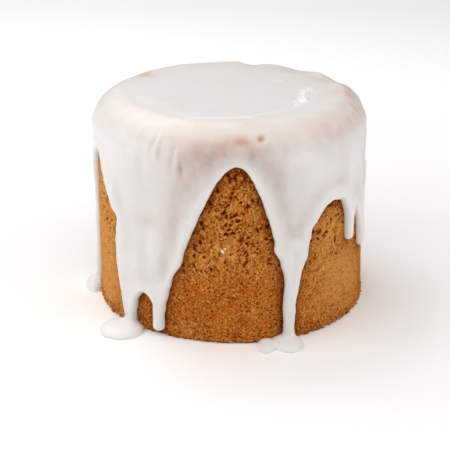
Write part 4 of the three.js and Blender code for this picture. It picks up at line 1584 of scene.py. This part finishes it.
class CAKE_OT_stage(bpy.types.Operator):
    """Sets up the camera, the floor and the soft light"""
    bl_idname = "cake.stage"
    bl_label = "Stage"

    def execute(self, context):
        scene = context.scene
        settings = scene.cake_stage
        data = bpy.data.cameras.new("Camera")
        data.sensor_width = SENSOR_WIDTH
        data.lens = settings.focal_length
        data.clip_start = 0.01
        camera = bpy.data.objects.new("Camera", data)
        camera.location = CAMERA_PLACE
        ahead = -direction(-CAMERA_YAW, CAMERA_PITCH)
        camera.rotation_euler = ahead.to_track_quat("-Z", "Y").to_euler()
        scene.collection.objects.link(camera)
        scene.camera = camera
        material, tree, surface = new_material("Floor")
        surface.inputs["Base Color"].default_value = settings.floor_colour
        surface.inputs["Roughness"].default_value = 0.6
        where = tree.nodes.new("ShaderNodeTexCoord")
        far = shader_node(tree, "ShaderNodeVectorMath", operation="LENGTH")
        tree.links.new(where.outputs["Object"], far.inputs[0])
        # Painted light: the floor glows and lights the cake, dimmer and warmer near it as a painted bounce
        # from the cake.
        away = spread(tree, far.outputs["Value"], *FLOOR_FADE)
        glow = colour_mix(tree, away, FLOOR_BOUNCE_NEAR, FLOOR_AWAY)
        tree.links.new(glow, surface.inputs["Emission Color"])
        surface.inputs["Emission Strength"].default_value = FLOOR_GLOW
        corners = [(x * FLOOR_HALF, y * FLOOR_HALF, 0.0) for x, y in ((-1, -1), (1, -1), (1, 1), (-1, 1))]
        floor = mesh_object("floor", corners, [(0, 1, 2, 3)], material, smooth=False)
        for name, azimuth, elevation, distance, size, setting, colour in LIGHTS:
            soft_light(name, azimuth, elevation, distance, size, getattr(settings, setting), colour)
        world = bpy.data.worlds.new("Studio")
        world.use_nodes = True
        sky = world.node_tree.nodes["Background"]
        sky.inputs["Color"].default_value = (1.0, 1.0, 1.0, 1.0)
        sky.inputs["Strength"].default_value = settings.ambient
        scene.world = world
        scene.view_settings.view_transform = "Standard"
        return {"FINISHED"}


class CAKE_PT_panel(bpy.types.Panel):
    """Lists the pieces of the cake and their sizes"""
    bl_label = "Lemon Chiffon Cake"
    bl_idname = "CAKE_PT_panel"
    bl_space_type = "VIEW_3D"
    bl_region_type = "UI"
    bl_category = "Cake"

    def draw(self, context):
        layout = self.layout
        scene = context.scene
        for settings, operators in (
                (scene.cake_sponge, (CAKE_OT_sponge, CAKE_OT_crumbs)),
                (scene.cake_icing, (CAKE_OT_icing, CAKE_OT_sugar)),
                (scene.cake_stage, (CAKE_OT_stage,))):
            column = layout.column(align=True)
            for name in settings.bl_rna.properties.keys():
                if name not in {"rna_type", "name"}:
                    column.prop(settings, name)
            for operator in operators:
                column.operator(operator.bl_idname)


CLASSES = (
    CakeSpongeSettings, CakeIcingSettings, CakeStageSettings,
    CAKE_OT_sponge, CAKE_OT_icing, CAKE_OT_crumbs, CAKE_OT_sugar, CAKE_OT_stage, CAKE_PT_panel,
)


def register():
    """Makes the settings, the operators and the panel known to Blender."""
    for kind in CLASSES:
        bpy.utils.register_class(kind)
    bpy.types.Scene.cake_sponge = bpy.props.PointerProperty(type=CakeSpongeSettings)
    bpy.types.Scene.cake_icing = bpy.props.PointerProperty(type=CakeIcingSettings)
    bpy.types.Scene.cake_stage = bpy.props.PointerProperty(type=CakeStageSettings)


def unregister():
    """Takes them away again."""
    del bpy.types.Scene.cake_stage
    del bpy.types.Scene.cake_icing
    del bpy.types.Scene.cake_sponge
    for kind in reversed(CLASSES):
        bpy.utils.unregister_class(kind)


def main():
    """Builds the cake and its stage."""
    register()
    bpy.ops.cake.stage()
    bpy.ops.cake.sponge()
    bpy.ops.cake.icing()
    bpy.ops.cake.crumbs()
    bpy.ops.cake.sugar()


if __name__ == "__main__":
    main()
